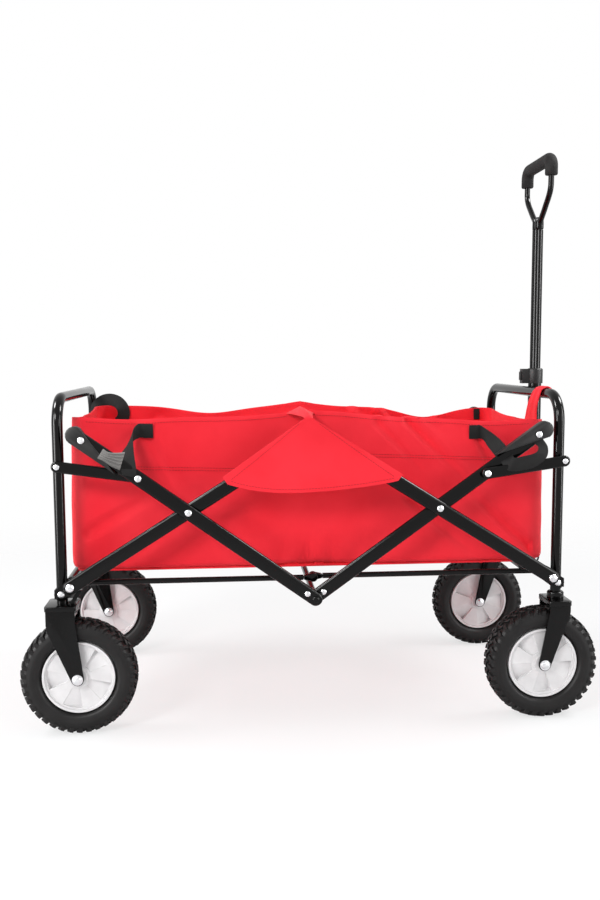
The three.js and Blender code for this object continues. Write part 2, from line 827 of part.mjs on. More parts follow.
// A solid between two four-sided faces, each given as its corners in order round the face.
function wedge(lowerFace, upperFace) {
  const solid = new THREE.BoxGeometry(1, 1, 1);
  const position = solid.getAttribute("position");
  for (let index = 0; index < position.count; index += 1) {
    const face = position.getZ(index) > 0 ? upperFace : lowerFace;
    const across = position.getX(index) > 0;
    const along = position.getY(index) > 0;
    const corner = along ? (across ? 2 : 3) : across ? 1 : 0;
    position.setXYZ(index, ...face[corner]);
  }
  return solid;
}

// A fabric flap runs from each peak out over the top joint and hangs in front of the arms.
function flapGeometry(side) {
  const inner = armFaceY + seatGap + headHeight + seatGap;
  const outer = inner + flapThickness;
  const foldZ = topZ + flapShoulder;
  const apexZ = bagRimZ + peakHeight - flapApexDrop;
  const cornerZ = topZ - flapCornerDrop;
  const foldHalf = (flapHalfWidth * (apexZ - foldZ)) / (apexZ - cornerZ);
  const apexHalf = 2 * flapThickness;
  const apexY = bagHalfWidth + seatGap;
  const front = new THREE.Shape();
  front.moveTo(-foldHalf, foldZ);
  front.lineTo(-flapHalfWidth, cornerZ);
  front.quadraticCurveTo(0, 2 * (topZ - flapDrop) - cornerZ, flapHalfWidth, cornerZ);
  front.lineTo(foldHalf, foldZ);
  const corners = (drop) => [
    [-foldHalf, side * outer, foldZ - drop],
    [foldHalf, side * outer, foldZ - drop],
    [apexHalf, side * apexY, apexZ - drop],
    [-apexHalf, side * apexY, apexZ - drop],
  ];
  // Mirroring a solid turns its faces round, so the far roof is built from its other face.
  const [lower, upper] = side < 0 ? [flapThickness, 0] : [0, flapThickness];
  return join(plateAcross(front, inner, outer, side), wedge(corners(lower), corners(upper)));
}

for (const [label, side] of sides) {
  piece(`bag_flap_${label}`, flapGeometry(side), redFabric());
}

// A red loop from the bag's front wall over the front hoop, near the near corner.
function hangerGeometry() {
  const half = hangerThickness / 2;
  const wrap = postRadius + seatGap + half;
  const wallX = bagHalfLength + seatGap + half;
  const centreLine = [
    [wallX, bagRimZ - hangerDrop],
    [wallX, bagRimZ - hangerRise],
  ];
  const wrapStart = THREE.MathUtils.degToRad(175);
  const wrapEnd = THREE.MathUtils.degToRad(-10);
  const wrapSteps = 8;
  for (let step = 0; step <= wrapSteps; step += 1) {
    const angle = wrapStart + ((wrapEnd - wrapStart) * step) / wrapSteps;
    centreLine.push([postX + wrap * Math.cos(angle), hoopBarZ + wrap * Math.sin(angle)]);
  }
  centreLine.push([postX + wrap - hangerTuck, hoopBarZ - hangerDrop]);
  const left = [];
  const right = [];
  centreLine.forEach(([x, z], index) => {
    const [beforeX, beforeZ] = centreLine[Math.max(index - 1, 0)];
    const [afterX, afterZ] = centreLine[Math.min(index + 1, centreLine.length - 1)];
    const length = Math.hypot(afterX - beforeX, afterZ - beforeZ);
    const normalX = -(afterZ - beforeZ) / length;
    const normalZ = (afterX - beforeX) / length;
    left.push(new THREE.Vector2(x + half * normalX, z + half * normalZ));
    right.push(new THREE.Vector2(x - half * normalX, z - half * normalZ));
  });
  const outline = new THREE.Shape([...left, ...right.reverse()]);
  return plateAcross(outline, hangerY - hangerWidth / 2, hangerY + hangerWidth / 2);
}

piece("bag_hanger", hangerGeometry(), redFabric());

// ---------------------------------------------------------------- pull handle

// The ears on the front crossbar hold the handle's pivot pin.
const earInner = handleTubeRadius + earGap;
const earOuter = earInner + earThickness;
const earBack = crossbarRadius + seatGap;

function handleBracketGeometry() {
  const ears = sides.map(([, side]) => {
    const outline = new THREE.Shape();
    outline.moveTo(earBack, crossbarZ - earHalfHeight);
    outline.absarc(handleOffset, crossbarZ, earHalfHeight, -Math.PI / 2, Math.PI / 2);
    outline.lineTo(earBack, crossbarZ + earHalfHeight);
    return plateAcross(outline, earInner, earOuter, side);
  });
  const back = block(
    [earBack, -earOuter, crossbarZ - earHalfHeight],
    [earBack + earBackThickness, earOuter, crossbarZ + earHalfHeight],
  );
  const bore = pinAcross(handleOffset, crossbarZ, looseHole, -2 * earOuter, 2 * earOuter);
  return cut(join(back, ...ears), bore);
}

piece("handle_bracket", handleBracketGeometry(), blackTube()).position.x = postX;

function handlePinGeometry() {
  const grip = earOuter + seatGap;
  const end = grip + headHeight;
  return turned([
    [0, -end],
    [headRadius, -end],
    [headRadius, -grip],
    [boltRadius, -grip],
    [boltRadius, grip],
    [headRadius, grip],
    [headRadius, end],
    [0, end],
  ]);
}

piece("handle_pin", handlePinGeometry(), plainSteel()).position.set(handleX, 0, crossbarZ);

// The handle's pieces count their heights from the ground, on the handle's own axis.
const handle = groupAt(handleX, 0, 0);

function handleTubeGeometry() {
  const bottom = crossbarZ - handleHeel;
  const bore = shaftRadius + seatGap;
  const tube = turnedUpright([
    [0, bottom],
    [handleTubeRadius, bottom],
    [handleTubeRadius, handleTubeTop],
    [bore, handleTubeTop],
    [bore, crossbarZ + handlePlug],
    [0, crossbarZ + handlePlug],
  ]);
  const pinReach = 2 * handleTubeRadius;
  return cut(tube, pinAcross(0, crossbarZ, looseHole, -pinReach, pinReach));
}

piece("handle_tube", handleTubeGeometry(), blackTube(), handle);

// The collar closes the lower tube and houses the release button on the bag side.
function collarGeometry() {
  const top = collarBottom + collarHeight;
  const lip = handleTubeTop + seatGap;
  const body = turnedUpright([
    [0, collarBottom],
    [collarRadius, collarBottom],
    [collarRadius, top - collarChamfer],
    [collarRadius - collarChamfer, top],
    [0, top],
  ]);
  const tab = block(
    [-collarRadius - tabReach, -tabWidth / 2, collarBottom],
    [0, tabWidth / 2, top - tabStep],
  );
  const bore = turnedUpright([
    [0, collarBottom - cutOverrun],
    [handleTubeRadius + seatGap, collarBottom - cutOverrun],
    [handleTubeRadius + seatGap, lip],
    [shaftRadius + seatGap, lip],
    [shaftRadius + seatGap, top + cutOverrun],
    [0, top + cutOverrun],
  ]);
  const middle = (collarBottom + top) / 2;
  const housingFace = -collarRadius - tabReach;
  const slotHalfWidth = buttonWidth / 2 + seatGap;
  const slotHalfHeight = buttonHeight / 2 + seatGap;
  const slot = block(
    [housingFace - cutOverrun, -slotHalfWidth, middle - slotHalfHeight],
    [housingFace + buttonDepth, slotHalfWidth, middle + slotHalfHeight],
  );
  return cut(join(body, tab), bore, slot);
}

piece("handle_collar", collarGeometry(), blackPlastic(), handle);

// The release button stands proud of its housing and presses in towards the shaft.
const buttonFace = -collarRadius - tabReach - buttonProud;
const button = block(
  [buttonFace, -buttonWidth / 2, -buttonHeight / 2],
  [buttonFace + buttonDepth, buttonWidth / 2, buttonHeight / 2],
);
const buttonMesh = piece("release_button", button, blackPlastic(), handle);
buttonMesh.position.z = collarBottom + collarHeight / 2;

const shaft = turnedUpright([
  [0, shaftBottom],
  [shaftRadius, shaftBottom],
  [shaftRadius, shaftTop],
  [0, shaftTop],
]);
piece("handle_shaft", shaft, blackTube(), handle);

// The loop's rod leaves the yoke as a V, turns upright, and closes across the top.
function loopPoints() {
  const bendZ = loopTopZ - loopBend;
  const bendY = loopHalfWidth - loopBend;
  const rising = [
    [0.1, 0.08],
    [0.2, 0.2],
    [0.49, 0.43],
    [0.8, 0.65],
    [0.94, 0.81],
    [1, 1],
  ].map(([spread, rise]) => [loopHalfWidth * spread, shaftTop + loopFlare * rise]);
  const nearSide = rising.map(([y, z]) => new THREE.Vector3(0, -y, z));
  const farSide = rising.map(([y, z]) => new THREE.Vector3(0, y, z)).reverse();
  return [
    ...nearSide,
    ...bendPoints(-bendY, bendZ, loopBend, Math.PI, Math.PI / 2, 4),
    ...bendPoints(bendY, bendZ, loopBend, Math.PI / 2, 0, 4),
    ...farSide,
  ];
}

function loopGeometry() {
  const yokeLow = shaftTop + seatGap;
  const yoke = block(
    [-yokeDepth / 2, -yokeWidth / 2, yokeLow],
    [yokeDepth / 2, yokeWidth / 2, yokeLow + yokeHeight],
  );
  return join(yoke, barAlong(loopPoints(), loopRadius, 0, 12));
}

piece("handle_loop", loopGeometry(), blackTube(), handle);

// A foam sleeve over the top of the loop and a little way down both of its sides.
function gripGeometry() {
  const bendZ = loopTopZ - loopBend;
  const bendY = loopHalfWidth - loopBend;
  const end = bendZ - gripLeg;
  const points = [
    new THREE.Vector3(0, -loopHalfWidth, end),
    ...bendPoints(-bendY, bendZ, loopBend, Math.PI, Math.PI / 2, 4),
    ...bendPoints(bendY, bendZ, loopBend, Math.PI / 2, 0, 4),
    new THREE.Vector3(0, loopHalfWidth, end),
  ];
  return barAlong(points, gripRadius, loopRadius + seatGap, 12);
}

piece("handle_grip", gripGeometry(), blackFoam(), handle);

export default wagon;
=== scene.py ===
# %% [markdown]
# # A folding wagon with a pull handle
# The construction is a fixed frame of named solids, loaded first. Each step below models one kind of piece
# around it: the tubes, the arms, the wheels, the handle and last the soft bag. Every piece rides on a body
# of the frame, so it moves when the wagon folds, rolls or is pulled.

# %% Load the frame
import json
import math
import random

import bmesh
import bpy
from mathutils import Matrix, Vector, noise

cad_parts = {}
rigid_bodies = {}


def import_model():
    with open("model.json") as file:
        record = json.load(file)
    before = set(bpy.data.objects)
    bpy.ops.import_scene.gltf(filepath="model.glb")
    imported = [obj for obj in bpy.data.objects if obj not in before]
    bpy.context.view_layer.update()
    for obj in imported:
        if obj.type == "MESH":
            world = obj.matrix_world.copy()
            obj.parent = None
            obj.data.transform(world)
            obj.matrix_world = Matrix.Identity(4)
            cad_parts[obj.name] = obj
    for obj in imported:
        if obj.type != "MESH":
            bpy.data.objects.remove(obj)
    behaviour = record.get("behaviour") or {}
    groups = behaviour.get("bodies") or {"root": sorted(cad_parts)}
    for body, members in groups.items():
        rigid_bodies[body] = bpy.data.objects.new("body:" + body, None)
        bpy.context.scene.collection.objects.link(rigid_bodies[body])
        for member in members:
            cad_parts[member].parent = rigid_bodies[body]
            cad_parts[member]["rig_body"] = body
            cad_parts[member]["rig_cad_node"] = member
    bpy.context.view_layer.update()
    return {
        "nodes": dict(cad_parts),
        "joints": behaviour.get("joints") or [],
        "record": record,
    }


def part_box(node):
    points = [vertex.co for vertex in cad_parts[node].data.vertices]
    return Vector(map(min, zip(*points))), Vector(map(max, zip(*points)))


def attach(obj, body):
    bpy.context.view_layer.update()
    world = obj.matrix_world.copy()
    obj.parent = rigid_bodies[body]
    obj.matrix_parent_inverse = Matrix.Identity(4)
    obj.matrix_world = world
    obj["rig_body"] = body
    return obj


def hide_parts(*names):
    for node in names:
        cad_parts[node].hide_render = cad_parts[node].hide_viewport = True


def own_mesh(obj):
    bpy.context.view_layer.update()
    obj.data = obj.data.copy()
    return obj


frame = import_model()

# %% [markdown]
# The sizes that the new pieces share are read from the frame, so that a piece lands where its solid lies.
# A joint gives the place of a pivot, and the box of a node gives its lowest and highest corner. The arms lie
# in two layers outside the brackets' plates, a hair's width apart.

# %% Places and sizes from the frame
SIDES = {"near": -1, "far": 1}
ENDS = {"rear": -1, "front": 1}
QUARTERS = [(end, label, side) for end in ENDS for label, side in SIDES.items()]
pivot = {joint["name"]: Vector(joint["pos_m"]) for joint in frame["joints"]}

hoop_low, hoop_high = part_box("rear_hoop")
tube_radius = (hoop_high.x - hoop_low.x) / 2
post_x = pivot["front_link_pivot"].x
post_y = hoop_high.y - tube_radius
post_bottom = hoop_low.z
hoop_bar_z = hoop_high.z - tube_radius
hoop_bend = 0.048
hair = 0.0003
plate = 0.0018
arm_width = 0.025
arm_depth = 0.011
inner_layer = post_y + tube_radius + plate + 2 * hair
outer_layer = inner_layer + arm_depth + hair
arm_face = outer_layer + arm_depth
print(f"post lines at x {post_x:.4f}, y {post_y:.4f}; arms from {inner_layer:.4f} to {arm_face:.4f}")

# %% [markdown]
# A camera a little under two metres away and just above the bag's rim sees the wagon's long side and a
# little of its inside. The lens is given by its length for a 36 mm wide sensor. The camera comes early, so
# that every later step can be looked at from where the finished wagon will be seen.

# %% Camera
camera_data = bpy.data.cameras.new("camera")
camera_data.sensor_fit = "HORIZONTAL"
camera_data.sensor_width = 36
camera_data.lens = 55.2
camera = bpy.data.objects.new("camera", camera_data)
camera.location = (-0.151, -1.819, 0.660)
camera.rotation_euler = (math.radians(84.16), math.radians(0.27), math.radians(-4.55))
bpy.context.collection.objects.link(camera)
bpy.context.scene.camera = camera
print("camera turned", [round(math.degrees(angle), 2) for angle in camera.rotation_euler])

# %% [markdown]
# An operator works on all that is selected, and the frame's nodes are still selected after loading. So
# every step first clears the selection. These helpers do that, choose one piece to work on, and open it in
# edit mode.

# %% Helpers: select and edit
def deselect():
    if bpy.context.mode != "OBJECT":
        bpy.ops.object.mode_set(mode="OBJECT")
    bpy.ops.object.select_all(action="DESELECT")


def work_on(piece):
    deselect()
    piece.select_set(True)
    bpy.context.view_layer.objects.active = piece


def edit(piece):
    work_on(piece)
    bpy.ops.object.mode_set(mode="EDIT")


deselect()
print("selected:", len(bpy.context.selected_objects))

# %% [markdown]
# By hand, faces, edges and corners would be clicked. In code they are picked by a test on their place or
# their direction, which still finds them when a size changes. Corners can also be moved one by one by a
# rule. Closing a piece merges its doubles and turns its faces outwards, since spin and mirror may leave
# them turned in.

# %% Helpers: pick and move
def pick(kind, test):
    """Selects the faces, edges or verts of the piece in edit mode that pass the test."""
    bpy.ops.mesh.select_mode(type={"faces": "FACE", "edges": "EDGE", "verts": "VERT"}[kind])
    bpy.ops.mesh.select_all(action="DESELECT")
    shape = bmesh.from_edit_mesh(bpy.context.object.data)
    for element in getattr(shape, kind):
        if test(element):
            element.select_set(True)
    shape.select_flush_mode()
    bmesh.update_edit_mesh(bpy.context.object.data)


def middle_of(edge):
    return (edge.verts[0].co + edge.verts[1].co) / 2


def lies_flat(edge):
    """True for an edge whose two ends have the same y."""
    return abs(edge.verts[0].co.y - edge.verts[1].co.y) < 1e-6


def move_corners(rule):
    """Puts each corner of the piece in edit mode where the rule says; None leaves it."""
    shape = bmesh.from_edit_mesh(bpy.context.object.data)
    for corner in shape.verts:
        place = rule(corner)
        if place is not None:
            corner.co = place
    bmesh.update_edit_mesh(bpy.context.object.data)


def close_up(merge=1e-6):
    """Merges doubles, turns all faces outwards and leaves edit mode."""
    bpy.ops.mesh.select_all(action="SELECT")
    bpy.ops.mesh.remove_doubles(threshold=merge)
    bpy.ops.mesh.normals_make_consistent(inside=False)
    bpy.ops.object.mode_set(mode="OBJECT")


# %% [markdown]
# Most pieces start as a cube or a cylinder, added at its size and place. The size is settled into the mesh
# before any shaping, because a bevel on a stretched object comes out uneven. A modifier is applied at once,
# so that the next step works on the true mesh.

# %% Helpers: primitives and modifiers
def settle(piece):
    """Moves the object's place, turn and size into its mesh."""
    work_on(piece)
    bpy.ops.object.transform_apply(location=True, rotation=True, scale=True)


def opened():
    """Settles the primitive that was just added and opens it for editing."""
    piece = bpy.context.object
    settle(piece)
    edit(piece)
    return piece


def block(at, size):
    deselect()
    bpy.ops.mesh.primitive_cube_add(size=1, location=at, scale=size)
    return opened()


def drum(radius, depth, at, sides=32, turn=(math.pi / 2, 0, 0)):
    """A cylinder that lies across the wagon unless it is turned another way."""
    deselect()
    bpy.ops.mesh.primitive_cylinder_add(vertices=sides, radius=radius, depth=depth, location=at,
                                        rotation=turn)
    return opened()


def modify(piece, kind, **values):
    work_on(piece)
    modifier = piece.modifiers.new(kind.lower(), kind)
    for name, value in values.items():
        setattr(modifier, name, value)
    bpy.ops.object.modifier_apply(modifier=modifier.name)


def soft_edges(piece, width, segments=2, angle=35):
    modify(piece, "BEVEL", width=width, segments=segments, limit_method="ANGLE",
           angle_limit=math.radians(angle), use_clamp_overlap=True)


def lay_out(piece):
    """Gives a piece of cloth a UV map whose unit is a metre."""
    edit(piece)
    bpy.ops.mesh.select_all(action="SELECT")
    bpy.ops.uv.cube_project(cube_size=1)
    bpy.ops.object.mode_set(mode="OBJECT")


# %% [markdown]
# What repeats is modelled once and copied, and each copy has a mesh of its own. A finished piece gets its
# name, smooth shading up to an angle, its finish, the body it moves with and the solids it stands for.

# %% Helpers: copy, join and finish
def copied(piece, place):
    """A copy with a mesh of its own, moved by a matrix."""
    twin = piece.copy()
    twin.data = piece.data.copy()
    bpy.context.collection.objects.link(twin)
    twin.data.transform(place)
    if place.determinant() < 0:
        twin.data.flip_normals()
    return twin


def joined(pieces):
    deselect()
    for piece in pieces:
        piece.select_set(True)
    bpy.context.view_layer.objects.active = pieces[0]
    bpy.ops.object.join()
    return pieces[0]


finishes = {}
made = []


def finished(piece, name, body, slot, nodes=(), angle=30, material=None):
    """Names a piece, smooths it, gives it the slot's finish or another, and hangs it on its body."""
    piece.name = name
    piece.data.name = name
    piece.data.materials.clear()
    piece.data.materials.append(material or finishes[slot])
    work_on(piece)
    bpy.ops.object.shade_smooth_by_angle(angle=math.radians(angle))
    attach(piece, body)
    if nodes:
        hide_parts(*nodes)
    made.append(piece)
    return piece


print("finished pieces so far:", len(made))

# %% [markdown]
# ## Finishes
# Several finishes share the same small effects: a fine grain, slow cloudy changes of tone, wear along
# edges, and the weave of cloth. Each effect is a node group with named inputs, built once. A group only
# puts out numbers and masks; the shader itself stays in each material.

# %% Helpers: node groups
def new_group(name, inputs, outputs):
    tree = bpy.data.node_groups.new(name, "ShaderNodeTree")
    for label, kind, value in inputs:
        socket = tree.interface.new_socket(label, in_out="INPUT", socket_type=kind)
        if value is not None:
            socket.default_value = value
    for label in outputs:
        tree.interface.new_socket(label, in_out="OUTPUT", socket_type="NodeSocketFloat")
    return tree, tree.nodes.new("NodeGroupInput"), tree.nodes.new("NodeGroupOutput")


def add(tree, kind, inputs=None, **settings):
    """Adds a node; each input is a plain value or another node's output to link."""
    node = tree.nodes.new(kind)
    for name, value in settings.items():
        setattr(node, name, value)
    for label, value in (inputs or {}).items():
        if isinstance(value, bpy.types.NodeSocket):
            tree.links.new(value, node.inputs[label])
        else:
            node.inputs[label].default_value = value
    return node


def calc(tree, operation, *values, clamp=False):
    inputs = dict(enumerate(values))
    return add(tree, "ShaderNodeMath", inputs, operation=operation, use_clamp=clamp).outputs[0]


FLOAT = "NodeSocketFloat"
VECTOR = "NodeSocketVector"

# %% Effect: grain
grain, grain_in, grain_out = new_group(
    "grain", [("Vector", VECTOR, None), ("Scale", FLOAT, 800.0), ("Detail", FLOAT, 3.0)], ["Height"])
grain_noise = add(grain, "ShaderNodeTexNoise", {
    "Vector": grain_in.outputs["Vector"], "Scale": grain_in.outputs["Scale"],
    "Detail": grain_in.outputs["Detail"], "Roughness": 0.6})
grain.links.new(grain_noise.outputs["Fac"], grain_out.inputs["Height"])
print("grain:", len(grain.nodes), "nodes")

# %% Effect: clouds
clouds, clouds_in, clouds_out = new_group(
    "clouds", [("Vector", VECTOR, None), ("Scale", FLOAT, 12.0), ("Low", FLOAT, 0.0), ("High", FLOAT, 1.0)],
    ["Value"])
clouds_noise = add(clouds, "ShaderNodeTexNoise", {
    "Vector": clouds_in.outputs["Vector"], "Scale": clouds_in.outputs["Scale"], "Detail": 4.0})
clouds_range = add(clouds, "ShaderNodeMapRange", {
    "Value": clouds_noise.outputs["Fac"], "From Min": 0.3, "From Max": 0.7,
    "To Min": clouds_in.outputs["Low"], "To Max": clouds_in.outputs["High"]})
clouds.links.new(clouds_range.outputs["Result"], clouds_out.inputs["Value"])
print("clouds:", len(clouds.nodes), "nodes")

# %% [markdown]
# Paint and mouldings rub through first on their sharp edges. Pointiness finds these edges on the mesh, and
# a noise breaks the mask up, as no edge wears evenly.

# %% Effect: worn edges
worn, worn_in, worn_out = new_group(
    "worn_edges", [("Vector", VECTOR, None), ("Amount", FLOAT, 0.5)], ["Mask"])
worn_shape = add(worn, "ShaderNodeNewGeometry")
worn_edge = add(worn, "ShaderNodeMapRange", {
    "Value": worn_shape.outputs["Pointiness"], "From Min": 0.52, "From Max": 0.62})
worn_noise = add(worn, "ShaderNodeTexNoise", {
    "Vector": worn_in.outputs["Vector"], "Scale": 90.0, "Detail": 5.0})
worn_patch = add(worn, "ShaderNodeMapRange", {
    "Value": worn_noise.outputs["Fac"], "From Min": 0.48, "From Max": 0.62})
worn_mask = calc(worn, "MULTIPLY", worn_edge.outputs["Result"], worn_patch.outputs["Result"])
worn_mask = calc(worn, "MULTIPLY", worn_mask, worn_in.outputs["Amount"], clamp=True)
worn.links.new(worn_mask, worn_out.inputs["Mask"])
print("worn edges:", len(worn.nodes), "nodes")

# %% [markdown]
# In a plain weave each thread goes over one and under one. Two sine waves give the threads of either
# direction, and the sign of their product says which of the two lies on top. This follows the cloth's own
# UV map, which a picture of cloth would do too, but a formula stays sharp at every distance.

# %% Effect: plain weave
weave, weave_in, weave_out = new_group(
    "weave", [("Vector", VECTOR, None), ("Threads", FLOAT, 900.0)], ["Height", "Thread"])
weave_place = add(weave, "ShaderNodeVectorMath",
                  {0: weave_in.outputs["Vector"], "Scale": weave_in.outputs["Threads"]}, operation="SCALE")
weave_axes = add(weave, "ShaderNodeSeparateXYZ", {"Vector": weave_place.outputs["Vector"]})
warp = calc(weave, "SINE", calc(weave, "MULTIPLY", weave_axes.outputs["X"], math.pi))
weft = calc(weave, "SINE", calc(weave, "MULTIPLY", weave_axes.outputs["Y"], math.pi))
over = calc(weave, "GREATER_THAN", calc(weave, "MULTIPLY", warp, weft), 0.0)
weave_mix = add(weave, "ShaderNodeMix", {
    "Factor": over, 2: calc(weave, "ABSOLUTE", warp), 3: calc(weave, "ABSOLUTE", weft)})
weave.links.new(weave_mix.outputs[0], weave_out.inputs["Height"])
weave.links.new(over, weave_out.inputs["Thread"])
print("effects:", [group.name for group in bpy.data.node_groups])

# %% [markdown]
# Every finish starts from one Principled shader with its uniform values set on it. The helpers below place
# an effect between the texture coordinates and a socket of that shader.

# %% Helpers: materials
def new_material(name, colour, roughness, metallic=0.0, **sockets):
    """A Principled material; returns it with its node tree, shader and texture coordinates."""
    material = bpy.data.materials.new(name)
    material.use_nodes = True
    tree = material.node_tree
    shader = tree.nodes["Principled BSDF"]
    shader.inputs["Base Color"].default_value = (*colour, 1)
    shader.inputs["Roughness"].default_value = roughness
    shader.inputs["Metallic"].default_value = metallic
    for label, value in sockets.items():
        shader.inputs[label.replace("_", " ")].default_value = value
    return material, tree, shader, add(tree, "ShaderNodeTexCoord")


def effect(tree, group, **inputs):
    return add(tree, "ShaderNodeGroup", inputs, node_tree=group)


def mixed_colour(tree, factor, first, second):
    first, second = ((*tint, 1) if isinstance(tint, tuple) else tint for tint in (first, second))
    return add(tree, "ShaderNodeMix", {0: factor, 6: first, 7: second}, data_type="RGBA").outputs[2]


def clouded(tree, where, scale, low=0.0, high=1.0):
    """A number that drifts slowly between low and high."""
    return effect(tree, clouds, Vector=where, Scale=scale, Low=low, High=high).outputs["Value"]


def grained(tree, where, scale, detail):
    return effect(tree, grain, Vector=where, Scale=scale, Detail=detail).outputs["Height"]


def bumped(tree, shader, height, strength, distance):
    node = add(tree, "ShaderNodeBump", {"Height": height, "Strength": strength, "Distance": distance})
    tree.links.new(node.outputs["Normal"], shader.inputs["Normal"])


# %% [markdown]
# The frame's tubes are steel with a gloss black powder coat. Its skin is not quite flat, which breaks up
# the reflections, and it has rubbed through a little along sharp edges. A clear coat over a dark base would
# shine too hard for powder, so one layer with a low specular is used.

# %% Finish: gloss black paint
def make_paint():
    black, rubbed = (0.0016, 0.0014, 0.0014), (0.0060, 0.0056, 0.0054)
    material, tree, shader, place = new_material("gloss_black_paint", black, 0.2, Specular_IOR_Level=0.18)
    where = place.outputs["Object"]
    edge = effect(tree, worn, Vector=where, Amount=0.35).outputs["Mask"]
    tree.links.new(mixed_colour(tree, edge, black, rubbed), shader.inputs["Base Color"])
    tree.links.new(clouded(tree, where, 22.0, 0.11, 0.17), shader.inputs["Roughness"])
    bumped(tree, shader, grained(tree, where, 260.0, 2.0), 0.06, 0.0004)
    return material


finishes["frame_paint"] = make_paint()
print("finish:", finishes["frame_paint"].name)

# %% [markdown]
# Rivets and bolts are zinc plated steel: a bright metal with a slightly cloudy polish. A fully metallic
# shader shows only what it reflects, so the clouds lie in its tint and in its roughness.

# %% Finish: plated steel
def make_steel():
    dull, bright = (0.55, 0.55, 0.57), (0.74, 0.74, 0.75)
    material, tree, shader, place = new_material("zinc_steel", (0.66, 0.66, 0.67), 0.3, 1.0)
    where = place.outputs["Object"]
    polish = mixed_colour(tree, clouded(tree, where, 160.0), dull, bright)
    tree.links.new(polish, shader.inputs["Base Color"])
    tree.links.new(clouded(tree, where, 70.0, 0.2, 0.42), shader.inputs["Roughness"])
    bumped(tree, shader, grained(tree, where, 1400.0, 2.0), 0.15, 0.0002)
    return material


finishes["plated_steel"] = make_steel()
print("finish:", finishes["plated_steel"].name)

# %% [markdown]
# Three plastics and a rubber share one recipe: a base colour that drifts a little, a moulded grain and a
# roughness that changes slowly over the surface. Only the numbers differ.

# %% Finishes: mouldings
def make_moulding(name, dark, light, roughness, grain_scale, strength, depth, wear=0.0, gloss=0.5):
    material, tree, shader, place = new_material(name, light, roughness, Specular_IOR_Level=gloss)
    where = place.outputs["Object"]
    colour = mixed_colour(tree, clouded(tree, where, 35.0), dark, light)
    if wear > 0:
        edge = effect(tree, worn, Vector=where, Amount=wear).outputs["Mask"]
        colour = mixed_colour(tree, edge, colour, tuple(4 * channel + 0.02 for channel in light))
    tree.links.new(colour, shader.inputs["Base Color"])
    rough = clouded(tree, where, 55.0, 0.88 * roughness, min(1.12 * roughness, 1.0))
    tree.links.new(rough, shader.inputs["Roughness"])
    bumped(tree, shader, grained(tree, where, grain_scale, 3.0), strength, depth)
    return material


finishes["hub_plastic"] = make_moulding(
    "white_moulding", (0.62, 0.61, 0.615), (0.72, 0.71, 0.715),
    roughness=0.42, grain_scale=900.0, strength=0.12, depth=0.0003)
finishes["tyre_rubber"] = make_moulding(
    "black_rubber", (0.0048, 0.0042, 0.0042), (0.0090, 0.0080, 0.0080),
    roughness=0.5, grain_scale=700.0, strength=0.35, depth=0.0004, gloss=0.22)
finishes["fitting_plastic"] = make_moulding(
    "black_moulding", (0.0050, 0.0048, 0.0048), (0.0090, 0.0085, 0.0085),
    roughness=0.45, grain_scale=1500.0, strength=0.3, depth=0.0002, wear=0.12, gloss=0.3)
finishes["grip_foam"] = make_moulding(
    "black_foam", (0.0060, 0.0055, 0.0055), (0.0120, 0.0110, 0.0110),
    roughness=0.9, grain_scale=620.0, strength=0.6, depth=0.0008, gloss=0.25)
print("finishes so far:", list(finishes))

# %% [markdown]
# The bag is red polyester in a plain weave. The weave follows the cloth's own UV map, laid out in metres,
# so a thread has the same size on every panel. Sheen brightens the cloth where it turns away, and slow
# clouds of tone stand for the handling it has had. Webbing, thread and a gathered strap are made in the same
# way. The thread is darker than the cloth, which paints the line of shade along a seam, and the gathered
# strap's grey is painted sheen on black webbing.

# %% Finishes: cloth
def make_cloth(name, dark, light, roughness, threads, depth, sheen, tint):
    material, tree, shader, place = new_material(
        name, light, roughness, Sheen_Weight=sheen, Sheen_Roughness=0.5, Specular_IOR_Level=0.12)
    shader.inputs["Sheen Tint"].default_value = (*tint, 1)
    where = place.outputs["Object"]
    cloth = effect(tree, weave, Vector=place.outputs["UV"], Threads=threads)
    fuzz = clouded(tree, where, 9.0, 0.15, 0.85)
    thread_tone = calc(tree, "MULTIPLY", cloth.outputs["Thread"], 0.12)
    tone = calc(tree, "ADD", fuzz, thread_tone, clamp=True)
    tree.links.new(mixed_colour(tree, tone, dark, light), shader.inputs["Base Color"])
    slub = calc(tree, "MULTIPLY", grained(tree, where, 420.0, 4.0), 0.6)
    bumped(tree, shader, calc(tree, "ADD", cloth.outputs["Height"], slub), 0.5, depth)
    return material


finishes["bag_fabric"] = make_cloth(
    "red_polyester", (0.76, 0.011, 0.023), (0.93, 0.027, 0.045),
    roughness=0.75, threads=1100.0, depth=0.00025, sheen=0.18, tint=(1, 0.5, 0.5))
finishes["webbing"] = make_cloth(
    "black_webbing", (0.0060, 0.0058, 0.0058), (0.0130, 0.0125, 0.0125),
    roughness=0.7, threads=700.0, depth=0.0004, sheen=0.08, tint=(0.5, 0.5, 0.5))
# The thread is darker than the cloth: its colour paints the thin line of shade along each seam.
thread = make_cloth(
    "red_thread", (0.30, 0.008, 0.014), (0.42, 0.012, 0.020),
    roughness=0.7, threads=2500.0, depth=0.0001, sheen=0.2, tint=(1, 0.6, 0.6))
# This grey is painted sheen: it stands for the light on the folds of a gathered black strap.
painted_sheen_cloth = make_cloth(
    "grey_satin", (0.13, 0.125, 0.12), (0.34, 0.33, 0.32),
    roughness=0.38, threads=900.0, depth=0.0002, sheen=0.1, tint=(0.8, 0.8, 0.8))
print("finishes:", [material.name for material in (*finishes.values(), thread, painted_sheen_cloth)])

# %% [markdown]
# ## The tube frame
# A bent tube is drawn as a bender makes it: a round disc is pulled out in a straight run, turned about the
# centre of a bend, and pulled out again. Extrude makes the runs and spin makes the bends, and each leaves
# its new end selected for the next one. Drawing keeps the corners truly round, which a chain of joined
# cylinders can't do.

